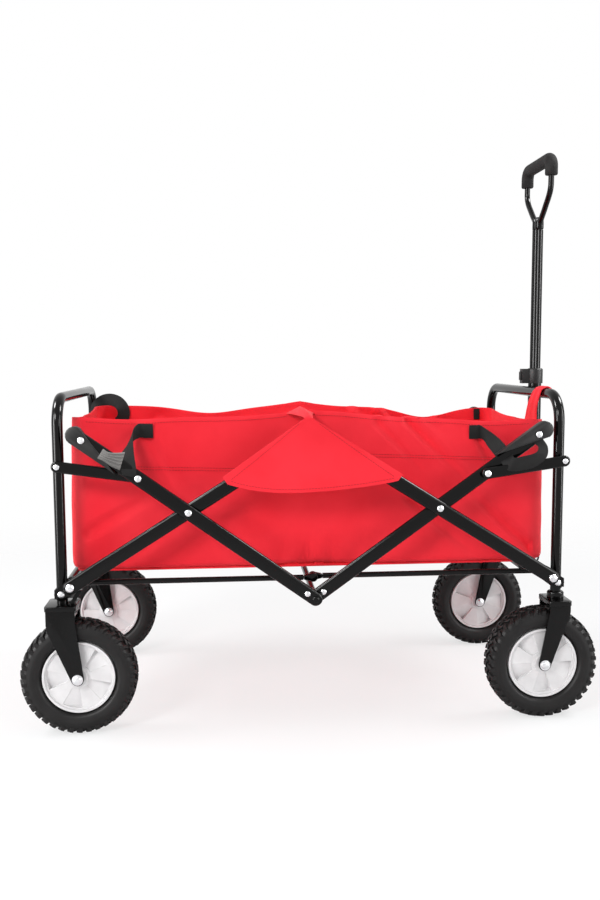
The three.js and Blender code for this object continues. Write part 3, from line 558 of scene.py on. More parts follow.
# %% Helpers: draw a tube
def start_tube(radius, at, heading, sides=28):
    """A disc that faces along heading, in edit mode, ready to be pulled out."""
    deselect()
    turn = Vector((0, 0, 1)).rotation_difference(Vector(heading)).to_euler()
    bpy.ops.mesh.primitive_circle_add(vertices=sides, radius=radius, fill_type="NGON", location=at,
                                      rotation=turn)
    piece = bpy.context.object
    bpy.ops.object.mode_set(mode="EDIT")
    bpy.ops.mesh.select_all(action="SELECT")
    return piece


def run(x=0.0, y=0.0, z=0.0):
    bpy.ops.mesh.extrude_region_move(TRANSFORM_OT_translate={"value": (x, y, z)})


def bend(centre, degrees, steps=12):
    """Turns the selected end about an axis along the wagon through the centre."""
    bpy.ops.mesh.spin(steps=steps, angle=math.radians(degrees), center=centre, axis=(1, 0, 0))


def widen(factor, along):
    """Scales the selected end about its own middle, but not along the tube's axis."""
    bpy.ops.transform.resize(value=tuple(1.0 if axis == along else factor for axis in "xyz"))


def end_tube(piece):
    close_up()
    settle(piece)
    return piece


# %% [markdown]
# The end hoops are the wagon's two upright frames. Each is one tube: up a post, round two corners and down
# the other post. A curve with a round section would do as well, but its bends are only nearly round.

# %% End hoops
bend_y = post_y - hoop_bend
bend_z = hoop_bar_z - hoop_bend
for end, sign in ENDS.items():
    x = sign * post_x
    hoop = start_tube(tube_radius, (x, -post_y, post_bottom), (0, 0, 1))
    run(z=bend_z - post_bottom)
    bend((x, -bend_y, bend_z), 90)
    run(y=2 * bend_y)
    bend((x, bend_y, bend_z), 90)
    run(z=post_bottom - bend_z)
    end_tube(hoop)
    finished(hoop, f"{end}_hoop_tube", f"{end}_frame", "frame_paint", [f"{end}_hoop"])
    print(hoop.name, len(hoop.data.polygons), "faces")

# %% [markdown]
# A crossbar joins the two posts below the bag. It is welded at both ends, so a small ring of weld stands
# round each end. The ring is part of the same run: the tube starts wide, narrows after the weld and widens
# again before the other post.

# %% Crossbars and the centre spreader
def cross_tube(node, name, body, weld=1.22, weld_length=0.004):
    low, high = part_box(node)
    radius = (high.x - low.x) / 2
    slope = 0.0015
    tube = start_tube(radius * weld, ((low.x + high.x) / 2, low.y, (low.z + high.z) / 2), (0, 1, 0))
    run(y=weld_length)
    run(y=slope)
    widen(1 / weld, "y")
    run(y=high.y - low.y - 2 * weld_length - 2 * slope)
    run(y=slope)
    widen(weld, "y")
    run(y=weld_length)
    return finished(end_tube(tube), name, body, "frame_paint", [node])


for end in ENDS:
    cross_tube(f"{end}_crossbar", f"{end}_cross_tube", f"{end}_frame")
spreader = cross_tube("centre_spreader", "spreader_tube", "rear_cross_arms", weld=1.35, weld_length=0.009)
print("spreader", [round(size, 4) for size in spreader.dimensions])

# %% [markdown]
# The floor frames carry the bag. Two long rails hinge on the lower pivots and meet at mid-length, and a
# tie across them holds the bag's floor. Where a rail turns on a bolt its tube is pressed into a flat eye. An
# eye is a short drum whose inner side is pulled out to meet the tube.

# %% Folding floor frames
rail_radius = 0.005
eye_radius = 0.008
eye_neck = 0.018        # from an eye's middle to where the round tube begins
tie_x = 0.385


def rail(x_outer, y, z):
    """One rail from its pivot eye to its eye at mid-length."""
    sign = 1 if x_outer > 0 else -1
    tube = start_tube(rail_radius, (x_outer - sign * eye_neck, y, z), (-sign, 0, 0), sides=20)
    run(x=-sign * (abs(x_outer) - 2 * eye_neck))
    parts = [end_tube(tube)]
    for x, toward in ((x_outer, -sign), (0.0, sign)):
        eye = drum(eye_radius, 2 * rail_radius, (x, y, z))
        pick("verts", lambda corner: toward * (corner.co.x - x) > 0.6 * eye_radius)
        bpy.ops.transform.resize(value=(1, 1, 0.75))
        bpy.ops.transform.translate(value=(toward * (eye_neck - eye_radius), 0, 0))
        pick("edges", lies_flat)
        bpy.ops.mesh.bevel(offset=0.0018, segments=3, affect="EDGES")
        close_up()
        parts.append(eye)
    return parts


for end, sign in ENDS.items():
    low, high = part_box(f"{end}_floor_frame")
    floor_pivot = pivot[f"{end}_floor_pivot"]
    rail_y = high.y - rail_radius
    parts = []
    for side in SIDES.values():
        parts += rail(floor_pivot.x, side * rail_y, floor_pivot.z)
    tie = start_tube(rail_radius, (sign * tie_x, -rail_y - rail_radius, high.z - rail_radius), (0, 1, 0), 20)
    run(y=2 * (rail_y + rail_radius))
    parts.append(end_tube(tie))
    rails = finished(joined(parts), f"{end}_floor_rails", f"{end}_floor", "frame_paint",
                     [f"{end}_floor_frame"])
    print(rails.name, [round(size, 3) for size in rails.dimensions])

# %% [markdown]
# ## Side scissors
# Each arm is a flat oval steel bar. A round disc becomes one when half of it is pulled out to the far end,
# and a bevel rolls its edges. The arm is made along its own pivot line and then turned to its place, as
# the angles follow from where the frame's pivots are.

# %% Helper: flat bar
def flat_bar(start, end, width, depth, y, rounding):
    """A bar from pivot to pivot, seen from the side, with its thickness about y."""
    reach = end - start
    sides = 36
    bar = drum(width / 2, depth, (0, 0, 0), sides, (math.pi / 2, math.pi / sides, 0))
    pick("verts", lambda corner: corner.co.x > 0)
    bpy.ops.transform.translate(value=(reach.length, 0, 0))
    pick("edges", lies_flat)
    bpy.ops.mesh.bevel(offset=rounding, segments=6, affect="EDGES")
    close_up()
    bar.rotation_euler = (0, -math.atan2(reach.z, reach.x), 0)
    bar.location = (start.x, y, start.z)
    settle(bar)
    return bar


# %% Arm places
lower = {"rear": pivot["fold"], "front": pivot["front_frame_pivot"]}
top = pivot["top_pivot"]
crossing = {end: pivot[f"{end}_cross_pivot"] for end in ENDS}
link_post = {end: pivot[f"{end}_link_pivot"] for end in ENDS}
spreader_low, spreader_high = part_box("centre_spreader")
hub = Vector((0, 0, (spreader_low.z + spreader_high.z) / 2))


def on_cross_arm(end, distance):
    """The place on a cross arm's centre line at this distance from the lower centre joint."""
    return hub + distance * (crossing[end] - hub).normalized()


cross_tip = {end: on_cross_arm(end, 0.503) for end in ENDS}
sleeve_rivet = {end: on_cross_arm(end, 0.489) for end in ENDS}
link_joint = {end: on_cross_arm(end, 0.374) for end in ENDS}
hub_rivet = {end: on_cross_arm(end, 0.018) for end in ENDS}
print("lift arm", round((top - lower["rear"]).length, 4),
      "link", round((link_joint["rear"] - link_post["rear"]).length, 4))

# %% Arms and links
link_width, link_depth = 0.020, 0.008
lift_layer = {"rear": inner_layer, "front": outer_layer}
cross_layer = {"rear": outer_layer, "front": inner_layer}
link_layer = {"rear": inner_layer, "front": arm_face - link_depth}
for end, label, side in QUARTERS:
    bars = [("lift", "lift_arm", lower[end], top, arm_width, arm_depth, lift_layer, 0.0050),
            ("cross", "cross_arm", hub, cross_tip[end], arm_width, arm_depth, cross_layer, 0.0050),
            ("link", "link", link_post[end], link_joint[end], link_width, link_depth, link_layer, 0.0036)]
    for kind, noun, start, stop, width, depth, layer, rounding in bars:
        bar = flat_bar(start, stop, width, depth, side * (layer[end] + depth / 2), rounding)
        finished(bar, f"{end}_{kind}_bar_{label}", f"{end}_{noun}s", "frame_paint",
                 [f"{end}_{noun}_{label}"])
print("arms and links:", sum(1 for piece in made if "_bar_" in piece.name))

# %% [markdown]
# Every pivot is closed by a bright domed rivet. Its head is a disc with a rim, whose cap is pulled out and
# drawn in four times along a quarter circle. Half a sphere would stand too high, as a rivet is flatter. The
# lower pivots have larger heads, which cover the bolts that belong to the brackets.

# %% Rivet heads
def rivet_head(radius, height):
    """A head at the origin that stands along -Y."""
    rim = 0.25 * height
    head = drum(radius, rim, (0, -rim / 2, 0), 24)
    pick("faces", lambda face: face.normal.y < -0.9)
    steps = 4
    before = 0.0
    for step in range(1, steps + 1):
        angle = step / (steps + 1) * math.pi / 2
        run(y=-(height - rim) * (math.sin(angle) - math.sin(before)))
        bpy.ops.transform.resize(value=(math.cos(angle) / math.cos(before),) * 3)
        before = angle
    close_up()
    return head


arm_head = rivet_head(radius=0.0059, height=0.0032)
small_head = rivet_head(radius=0.0050, height=0.0024)
bolt_head = rivet_head(radius=0.0076, height=0.0048)
print("heads:", [round(1000 * head.dimensions.x, 1) for head in (arm_head, small_head, bolt_head)], "mm")

# %% [markdown]
# A head of each size is copied to its joints. It rides on the arm or the frame that holds its shank, and
# turns with it when the wagon folds.

# %% Set the rivets
def set_head(model, name, at, face, side, body, slot="plated_steel"):
    """Copies a head to a joint; side turns it to the near or the far side."""
    place = Matrix.Translation((at.x, side * face, at.z))
    if side > 0:
        place = place @ Matrix.Rotation(math.pi, 4, "Z")
    return finished(copied(model, place), name, body, slot)


plate_face = post_y + tube_radius + hair + plate
for label, side in SIDES.items():
    joints = [("rear_scissor", crossing["rear"], "rear_lift_arms"),
              ("front_scissor", crossing["front"], "front_lift_arms"),
              ("top_joint", top, "rear_lift_arms"),
              ("rear_link_end", link_joint["rear"], "rear_cross_arms"),
              ("front_link_end", link_joint["front"], "front_links")]
    for name, at, body in joints:
        set_head(arm_head, f"{name}_rivet_{label}", at, arm_face, side, body)
    set_head(arm_head, f"hub_joint_cap_{label}", hub, arm_face, side, "rear_cross_arms", "frame_paint")
    set_head(bolt_head, f"rear_pivot_rivet_{label}", lower["rear"], outer_layer - hair, side, "rear_frame")
    set_head(bolt_head, f"front_pivot_rivet_{label}", lower["front"], arm_face, side, "front_frame")
    for end, sign in ENDS.items():
        bar_low, bar_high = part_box(f"{end}_crossbar")
        post_spot = Vector((sign * post_x, 0, (bar_low.z + bar_high.z) / 2))
        set_head(small_head, f"{end}_hub_rivet_{label}", hub_rivet[end], cross_layer[end] + arm_depth, side,
                 f"{end}_cross_arms")
        set_head(arm_head, f"{end}_post_rivet_{label}", post_spot, plate_face, side, f"{end}_frame")
        set_head(small_head, f"{end}_link_rivet_{label}", link_post[end], link_layer[end] + link_depth, side,
                 f"{end}_links")
print("rivet heads:", sum(1 for piece in made if "rivet" in piece.name))

# %% [markdown]
# ## Small fittings
# Brackets, forks and sleeves already have their true shape in the frame. A copy of such a solid is merged,
# its flat faces are joined, and a bevel rounds its edges as stamping and moulding do. The copy stands for
# the solid, which stays as it is.

# %% Helper: dress a solid
def dressed(node, name, bevel, slot, segments=2, angle=35):
    deselect()
    piece = frame["nodes"][node].copy()
    piece.data = piece.data.copy()
    bpy.context.collection.objects.link(piece)
    piece.parent = None
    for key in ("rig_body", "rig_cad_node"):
        del piece[key]
    edit(piece)
    bpy.ops.mesh.select_all(action="SELECT")
    bpy.ops.mesh.remove_doubles(threshold=1e-5)
    bpy.ops.mesh.dissolve_limited(angle_limit=math.radians(0.5))
    close_up(1e-5)
    soft_edges(piece, bevel, segments, angle)
    body = next(body for body, nodes in frame["record"]["behaviour"]["bodies"].items() if node in nodes)
    return finished(piece, name, body, slot, [node])


# %% Brackets, sleeves and the handle's fittings
sleeve_wall = 0.0026
for end, label, side in QUARTERS:
    dressed(f"{end}_bracket_{label}", f"{end}_bracket_plate_{label}", 0.0005, "frame_paint")
    dressed(f"{end}_end_sleeve_{label}", f"{end}_arm_sleeve_{label}", 0.0012, "fitting_plastic", 3)
dressed("handle_bracket", "handle_ears", 0.0007, "frame_paint")
dressed("handle_pin", "handle_pivot_pin", 0.0009, "plated_steel", 3)
for end, label, side in QUARTERS:
    set_head(arm_head, f"{end}_sleeve_rivet_{label}", sleeve_rivet[end],
             cross_layer[end] + arm_depth + sleeve_wall, side, f"{end}_cross_arms")
print("fittings:", len(made), "pieces so far")

# %% [markdown]
# ## Wheels
# The tyre is a spun section. A ring of points is squared off into the tyre's oval section, with a thin
# raised line on each side wall, and spun once round the axle. A torus has a round section only, and a tyre
# is flat under its tread.

# %% Tyre
wheel_radius = pivot["rear_wheel_spin_near"].z
tyre_low, tyre_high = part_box("rear_tyre_near")
hub_low, hub_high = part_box("rear_hub_near")
half_width = (tyre_high.y - tyre_low.y) / 2
hub_radius = 0.935 * (hub_high.z - hub_low.z) / 2
lug_count = 38
lug_height = 0.0036
square = 0.62               # 1 gives an oval section, less a squarer one
foot = 0.006                # the height over which the side wall draws in to the hub
foot_width = 0.78
line_at, line_half, line_height = 0.0185, 0.0020, 0.0014


def tyre_section(corner):
    """Moves a point of the unit ring to the tyre's section, as a place over the axle."""
    angle = math.atan2(corner.co.z, corner.co.x)
    centre = (hub_radius + wheel_radius - lug_height) / 2
    across, up = math.cos(angle), math.sin(angle)
    y = half_width * math.copysign(abs(across) ** square, across)
    radius = centre + (centre - hub_radius) * math.copysign(abs(up) ** square, up)
    if radius < hub_radius + foot:
        y *= foot_width + (1 - foot_width) * (radius - hub_radius) / foot
    line = math.exp(-((radius - hub_radius - line_at) / line_half) ** 2) * (abs(across) > 0.3)
    return 0, y + math.copysign(line_height, y) * line, radius


def spun_tyre():
    deselect()
    bpy.ops.mesh.primitive_circle_add(vertices=72, radius=1, rotation=(math.pi / 2, 0, 0))
    tyre = opened()
    move_corners(tyre_section)
    bpy.ops.mesh.select_all(action="SELECT")
    bpy.ops.mesh.spin(steps=96, angle=2 * math.pi, center=(0, 0, 0), axis=(0, 1, 0))
    close_up(1e-5)
    return tyre


print("wheel radius", round(wheel_radius, 4), "tyre width", round(2 * half_width, 4))

# %% [markdown]
# The tread's lugs are separate blocks of rubber, two on each side of the middle that slant opposite ways.
# One such group is modelled and spun as copies, so that all are alike. The outer blocks run down over the
# shoulder, which makes the wheel's outline toothed.

# %% Tread
def lug_block(y, length, width, slant, shift, shoulder):
    """One block of rubber on the tread; a shoulder block also runs down the side wall."""
    root = wheel_radius - lug_height - 0.0025
    height = wheel_radius - root
    lug = block((0, y, root + height / 2), (length, width, height))

    def shaped(corner):
        x, z = corner.co.x + slant * (corner.co.y - y), corner.co.z
        if shoulder and abs(corner.co.y) > abs(y):
            if z > root + height / 2:
                x, z = 0.8 * x, z - 0.0035
            else:
                z -= 0.006
        return x, corner.co.y, z

    move_corners(shaped)
    pick("edges", lambda edge: middle_of(edge).z > root + height * 0.7)
    bpy.ops.mesh.bevel(offset=0.0007, segments=1, affect="EDGES")
    bpy.ops.object.mode_set(mode="OBJECT")
    lug.location.x = shift
    settle(lug)
    return lug


def spun_lugs():
    pitch = 2 * math.pi * wheel_radius / lug_count
    blocks = []
    for side in (-1, 1):
        shift = side * pitch / 4
        blocks.append(lug_block(y=side * 0.0052, length=0.42 * pitch, width=0.0085, slant=side * 0.75,
                                shift=shift, shoulder=False))
        blocks.append(lug_block(y=side * 0.0170, length=0.46 * pitch, width=0.0105, slant=-side * 0.55,
                                shift=-shift * 0.2, shoulder=True))
    lugs = joined(blocks)
    edit(lugs)
    bpy.ops.mesh.select_all(action="SELECT")
    copies = lug_count - 1
    bpy.ops.mesh.spin(steps=copies, dupli=True, angle=2 * math.pi * (copies / lug_count), center=(0, 0, 0),
                      axis=(0, 1, 0))
    bpy.ops.object.mode_set(mode="OBJECT")
    return lugs


model_tyre = joined([spun_tyre(), spun_lugs()])
print("tyre:", len(model_tyre.data.polygons), "faces, radius", round(model_tyre.dimensions.z / 2, 4))

# %% [markdown]
# The hub is a white moulding. Each face is a dish inside a smooth lip, divided into ten sectors of which
# every second one is sunk, deeper towards the rim and from one edge to the other, like a fan's blades.
# Eight sides of the disc fall to each sector, so a blade needs no cut.

# %% Hub blades
lip = 0.0175
sectors = 10
blade_from, blade_to = 0.025, hub_radius - 0.0085


def polar(spot):
    """Distance from the axle, and turn about it counted in sectors."""
    return math.hypot(spot.x, spot.z), (math.atan2(spot.z, spot.x) + math.pi) * sectors / math.tau


def in_blade(face):
    radius, turn = polar(face.calc_center_median())
    return blade_from < radius < blade_to and int(turn) % 2 == 0 and face.normal.y < -0.5


def sink_blade(corner):
    if not corner.select:
        return None
    radius, turn = polar(corner.co)
    slope = min(1.0, turn % 2 if turn % 2 < 1.5 else 0.0)
    return corner.co + Vector((0, 0.0008 + (0.004 + 0.25 * slope) * (radius - 0.012), 0))


print("blades from", round(blade_from, 4), "to", round(blade_to, 4))

# %% [markdown]
# One face is drawn from a disc that is pulled out to the lip and then drawn in, step by step, to smaller
# rings, some of them at a new depth. A bevel then softens every ring at once, and a mirror makes the other
# face.

# %% Hub
def drawn_hub():
    deselect()
    rim = (hub_high.y - hub_low.y) / 2
    bpy.ops.mesh.primitive_circle_add(vertices=80, radius=hub_radius, fill_type="NGON",
                                      rotation=(math.pi / 2, 0, 0))
    disc = opened()
    bpy.ops.mesh.select_all(action="SELECT")
    run(y=-lip)
    # Each step draws the face in to a new radius and then moves it along the axle.
    radius = hub_radius
    for inset, step in [(0.0012, 0.0), (0.0026, 0.0), (0.0010, 0.0045), (0.0024, 0.0),
                        (radius - 0.0282, -0.001), (0.0035, -0.001), (0.0015, lip - rim),
                        (0.0065, 0.0), (0.0010, 0.003)]:
        run()
        bpy.ops.transform.resize(value=((radius - inset) / radius,) * 3)
        radius -= inset
        if step:
            bpy.ops.transform.translate(value=(0, step, 0))
    pick("faces", lambda face: abs(face.calc_center_median().y) < 1e-6)
    bpy.ops.mesh.delete(type="FACE")
    pick("faces", in_blade)
    bpy.ops.mesh.extrude_region_move()
    move_corners(sink_blade)
    bpy.ops.mesh.select_all(action="SELECT")
    bpy.ops.mesh.remove_doubles(threshold=1e-6)
    bpy.ops.object.mode_set(mode="OBJECT")
    soft_edges(disc, 0.0012, 3, 40)
    modify(disc, "MIRROR", use_axis=(False, True, False), use_clip=True, merge_threshold=1e-4)
    edit(disc)
    close_up()
    return disc


model_hub = drawn_hub()
print("hub:", len(model_hub.data.polygons), "faces, width", round(model_hub.dimensions.y, 4))

# %% [markdown]
# The axle is a bolt with a washer and a low round head at each end of the fork. Its parts never move on
# their own, so they are joined into one piece.

# %% Axle
def axle_bolt(node):
    low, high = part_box(node)
    grip = (high.y - low.y) / 2 - 0.004
    washer_depth = 0.0012
    bolt = start_tube(0.005, (0, -grip, 0), (0, 1, 0), sides=20)
    run(y=2 * grip)
    parts = [end_tube(bolt)]
    for turn in (0, math.pi):
        washer = drum(0.0095, washer_depth, (0, -grip - washer_depth / 2, 0))
        soft_edges(washer, 0.0003)
        head = rivet_head(radius=0.0068, height=0.0030)
        head.data.transform(Matrix.Translation((0, -grip - 0.0010, 0)))
        for part in (washer, head):
            part.data.transform(Matrix.Rotation(turn, 4, "Z"))
            parts.append(part)
    return joined(parts)


model_axle = axle_bolt("rear_axle_near")
print("axle bolt", [round(1000 * size, 1) for size in model_axle.dimensions], "mm")

# %% [markdown]
# The four wheels are copies of these models. Each is turned by its own random angle, since no two wheels
# stop alike, and rides on the body that spins. The bolt stays with the fork.

# %% Set the wheels
random.seed(4)
for end, label, side in QUARTERS:
    turn = Matrix.Rotation(random.uniform(0, math.tau), 4, "Y")
    place = Matrix.Translation(pivot[f"{end}_wheel_spin_{label}"])
    spinning = f"{end}_wheel_{label}"
    held = "rear_frame" if end == "rear" else f"caster_{label}"
    finished(copied(model_tyre, place @ turn), f"{end}_tread_{label}", spinning, "tyre_rubber",
             [f"{end}_tyre_{label}"], angle=40)
    finished(copied(model_hub, place @ turn), f"{end}_wheel_disc_{label}", spinning, "hub_plastic",
             [f"{end}_hub_{label}"], angle=35)
    finished(copied(model_axle, place), f"{end}_axle_bolt_{label}", held, "plated_steel",
             [f"{end}_axle_{label}"])
for model in (model_tyre, model_hub, model_axle, arm_head, small_head, bolt_head):
    bpy.data.objects.remove(model)
print("wheels:", sum(1 for piece in made if "tread" in piece.name))

# %% [markdown]
# ## Forks and casters
# The forks are pressed from flat plate: two legs under a crown. The front ones turn under a round swivel
# head. Their solids are already true, so both only need their edges rounded.

# %% Forks
for end, label, side in QUARTERS:
    dressed(f"{end}_fork_{label}", f"{end}_fork_plate_{label}", 0.0009, "frame_paint", 3, 40)
for label in SIDES:
    dressed(f"caster_stem_{label}", f"caster_head_{label}", 0.0010, "frame_paint", 3)
print("forks and swivel heads:", sum(1 for piece in made if "fork" in piece.name or "head" in piece.name))

# %% [markdown]
# A shallow cap with a rolled lip covers each fork's crown. It is a block with round upright corners, which
# is hollowed from below by an inset and a run upwards.

# %% Crown caps
cap_height, cap_lap = 0.0085, 0.0045
cap_below = 0.0035          # from the crown's top down to the cap's middle
crown_half = {"rear": 0.025, "front": 0.019}
crown_top = {"rear": 0.2314, "front": 0.218}


def crown_cap(length, width, at):
    """A shallow cap that laps over a fork's crown, with a lip round its foot."""
    cap = block(at, (length, width, cap_height))
    pick("edges", lambda edge: abs(edge.verts[0].co.z - edge.verts[1].co.z) > cap_height / 2)
    bpy.ops.mesh.bevel(offset=0.006, segments=4, affect="EDGES")
    foot_z = at[2] - cap_height / 2
    pick("faces", lambda face: face.normal.z < -0.9)
    bpy.ops.mesh.inset(thickness=0.0012)
    run(z=cap_height * 0.6)
    pick("edges", lambda edge: all(abs(corner.co.z - foot_z) < 1e-6 for corner in edge.verts))
    bpy.ops.mesh.bevel(offset=0.0004, segments=2, affect="EDGES")
    close_up()
    soft_edges(cap, 0.0012, 3, 50)
    return cap


for end, label, side in QUARTERS:
    low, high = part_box(f"{end}_fork_{label}")
    at = (ENDS[end] * post_x, side * post_y, crown_top[end] - cap_below)
    cap = crown_cap(2 * crown_half[end] + cap_lap, high.y - low.y + cap_lap, at)
    body = "rear_frame" if end == "rear" else f"caster_{label}"
    finished(cap, f"{end}_crown_cap_{label}", body, "frame_paint")
print("crown caps:", sum(1 for piece in made if "crown_cap" in piece.name))

# %% [markdown]
# ## Pull handle
# The handle is a lower tube, hinged at the front crossbar, and a shaft that slides in it. A plastic collar
# closes the lower tube and holds the release button. Both tubes are drawn like the hoops; the shaft's
# section has four shallow flutes, which show as thin lines of light.

# %% Lower tube, shaft and collar
handle_x = pivot["handle_tilt"].x
tube_low, tube_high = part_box("handle_tube")
handle_radius = (tube_high.y - tube_low.y) / 2
chamfer = 0.0015
lower_tube = start_tube(handle_radius - chamfer, (handle_x, 0, tube_low.z), (0, 0, 1), sides=40)
run(z=chamfer)
widen(handle_radius / (handle_radius - chamfer), "z")
run(z=tube_high.z - tube_low.z - chamfer)
finished(end_tube(lower_tube), "lower_tube", "handle_lower", "frame_paint", ["handle_tube"])

shaft_low, shaft_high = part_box("handle_shaft")
shaft_radius = (shaft_high.y - shaft_low.y) / 2
flute_depth, flute_half_angle = 0.0011, math.radians(14)


def flute(corner):
    """Sinks a point of the shaft that lies in one of its four flutes."""
    angle = math.atan2(corner.co.y, corner.co.x - handle_x)
    off = abs((angle + math.pi / 4) % (math.pi / 2) - math.pi / 4)
    if off >= flute_half_angle:
        return None
    radius = shaft_radius - flute_depth * math.cos(off / flute_half_angle * math.pi / 2) ** 0.7
    return handle_x + radius * math.cos(angle), radius * math.sin(angle), corner.co.z


shaft = start_tube(shaft_radius, (handle_x, 0, shaft_low.z), (0, 0, 1), sides=96)
run(z=shaft_high.z - shaft_low.z)
end_tube(shaft)
edit(shaft)
move_corners(flute)
bpy.ops.object.mode_set(mode="OBJECT")
finished(shaft, "sliding_shaft", "handle_upper", "frame_paint", ["handle_shaft"], angle=25)
dressed("handle_collar", "tube_collar", 0.0014, "fitting_plastic", 3)
print("shaft", [round(1000 * size, 1) for size in shaft.dimensions], "mm")

# %% [markdown]
# The release button is a small block in the side of the collar that faces the wagon. Its face is sunk
# inside a rim and cut in strips, and every second strip is raised again, which gives ribs for the thumb.

# %% Release button
button_low, button_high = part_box("release_button")
rib_pitch = 0.002


def on_rib(face):
    middle = face.calc_center_median()
    inside = face.normal.x < -0.9 and middle.x > button_low.x + 0.0003
    return inside and int((middle.z - button_low.z) / rib_pitch) % 2 == 1


button = block((button_low + button_high) / 2, button_high - button_low)
pick("faces", lambda face: face.normal.x < -0.9)
bpy.ops.mesh.inset(thickness=0.0014)
run(x=0.0006)
bpy.ops.mesh.subdivide(number_cuts=6)
pick("faces", on_rib)
run(x=-0.0005)
close_up()
soft_edges(button, 0.0004)
finished(button, "thumb_button", "release_button", "fitting_plastic", ["release_button"])
print("button", [round(1000 * size, 1) for size in button.dimensions], "mm")

# %% [markdown]
# The loop is a bent rod whose two ends sit in a pair of barrels on top of the shaft. Its sides swell out
# like a drop, which no arc gives, but a Bezier curve does with two handles a side. The curve gets a round
# section and is then made a mesh.

# %% Loop rod
loop_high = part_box("handle_loop")[1]
rod_radius = 0.0055
loop_half = loop_high.y - rod_radius
loop_top = loop_high.z - rod_radius
loop_bend = 0.017
bend_pull = 0.0094        # handle length that makes a quarter circle of this bend
upright_z = loop_top - loop_bend - 0.029
barrel_y = 0.0074


def half_loop(side):
    """Places and directions from a barrel up to the top, as (y, z) pairs."""
    return [((side * barrel_y, shaft_high.z + 0.002), (0, 0.012)),
            ((side * 0.0385, shaft_high.z + 0.0375), (side * 0.0125, 0.0125)),
            ((side * loop_half, upright_z), (0, 0.018)),
            ((side * loop_half, loop_top - loop_bend), (0, bend_pull)),
            ((side * (loop_half - loop_bend), loop_top), (-side * bend_pull, 0))]


deselect()
bpy.ops.curve.primitive_bezier_curve_add()
rod = bpy.context.object
route = half_loop(-1) + [(spot, (-along[0], -along[1])) for spot, along in reversed(half_loop(1))]
points = rod.data.splines[0].bezier_points
points.add(len(route) - 2)
for point, (spot, along) in zip(points, route):
    point.handle_left_type = point.handle_right_type = "FREE"
    point.co = (handle_x, spot[0], spot[1])
    point.handle_left = (handle_x, spot[0] - along[0], spot[1] - along[1])
    point.handle_right = (handle_x, spot[0] + along[0], spot[1] + along[1])
rod.data.dimensions = "3D"
rod.data.bevel_depth = rod_radius
rod.data.bevel_resolution = 5
rod.data.resolution_u = 12
rod.data.use_fill_caps = True
work_on(rod)
bpy.ops.object.convert(target="MESH")
rod = opened()
close_up()
print("rod", [round(1000 * size) for size in rod.dimensions], "mm")

# %% Barrels of the yoke
barrel_radius, foot_radius, tip_radius = 0.0086, 0.0072, 0.0066
barrels = []
for side in (-1, 1):
    barrel = start_tube(foot_radius, (handle_x, side * barrel_y, shaft_high.z + hair), (0, 0, 1), sides=32)
    run(z=0.002)
    widen(barrel_radius / foot_radius, "z")
    run(z=0.018)
    run(z=0.0035)
    widen(tip_radius / barrel_radius, "z")
    barrels.append(end_tube(barrel))
cross_pin = drum(0.0045, 2 * barrel_y + 0.019, (handle_x, 0, shaft_high.z + 0.012), 28)
soft_edges(cross_pin, 0.0012, 3)
loop = finished(joined([rod, *barrels, cross_pin]), "loop_rod", "handle_upper", "frame_paint",
                ["handle_loop"], angle=40)
print("loop", [round(1000 * size) for size in loop.dimensions], "mm")

# %% [markdown]
# The grip is a foam tube pushed over the top of the loop. It is drawn along the same bends as the rod, with
# a narrower mouth at either end, where the foam hugs the rod.

# %% Foam grip
grip_low, grip_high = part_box("handle_grip")
grip_radius = (grip_high.x - grip_low.x) / 2
grip_round = 0.002
mouth = 0.92
leg_top = loop_top - loop_bend
leg = leg_top - grip_low.z - grip_round
inner_half = loop_half - loop_bend
grip = start_tube(grip_radius * mouth, (handle_x, -loop_half, grip_low.z), (0, 0, 1), sides=36)
run(z=grip_round)
widen(1 / mouth, "z")
run(z=leg)
bend((handle_x, -inner_half, leg_top), 90, 14)
runs = 6
for step in range(runs):
    run(y=2 * inner_half / runs)
bend((handle_x, inner_half, leg_top), 90, 14)
run(z=-leg)
run(z=-grip_round)
widen(mouth, "z")
finished(end_tube(grip), "foam_sleeve", "handle_upper", "grip_foam", ["handle_grip"], angle=50)
print("grip", [round(1000 * size) for size in grip.dimensions], "mm")

# %% [markdown]
# ## Fabric bag
# The bag is a tub of heavy cloth that hangs from its rim inside the frame. A cloth simulation would have
# to run anew for every pose of the fold, and would place the rim where it likes. So the tub is drawn, and
# rules in code say how the cloth lies. The first rules give the height of the rim and of the hem: the rim
# sags across the end walls and is pulled up to a point where a flap is sewn on.

# %% The bag's sizes, rim and hem
bag_low, bag_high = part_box("bag")
bag_half_length, bag_half_width = bag_high.x + 0.0135, bag_high.y - 0.004
bag_shift = 0.0005
floor_z = bag_low.z + 0.0008
rim_level = top.z + 0.0213
corner_radius = 0.026
cloth_gauge = 0.0026
edge_round = 0.012
flap_x, far_flap_shift, far_flap_drop = -0.021, 0.028, 0.0085


def clamped(value):
    return max(0.0, min(1.0, value))


def hill(value, middle, half):
    return math.exp(-((value - middle) / half) ** 2)


def near_rim(x):
    """Falls a little towards the front, stands up at the middle and sags beside the posts."""
    level = rim_level - 0.002 - 0.0145 * x
    return level + 0.012 * hill(x, 0.012, 0.105) - 0.005 * hill(abs(x), 0.325, 0.070)


def far_rim(x):
    """Like the near rim, but with two deeper hollows where nothing holds it up."""
    level = rim_level - 0.001 - 0.0135 * x
    level += 0.008 * hill(x, 0.007, 0.060)
    return level - 0.015 * hill(x, -0.190, 0.080) - 0.022 * hill(x, 0.280, 0.070)


def peak(x, middle):
    """1 at the place where a flap pulls the rim up to a point, 0 beside it."""
    return max(0.0, 1 - abs(x - middle) / 0.030)


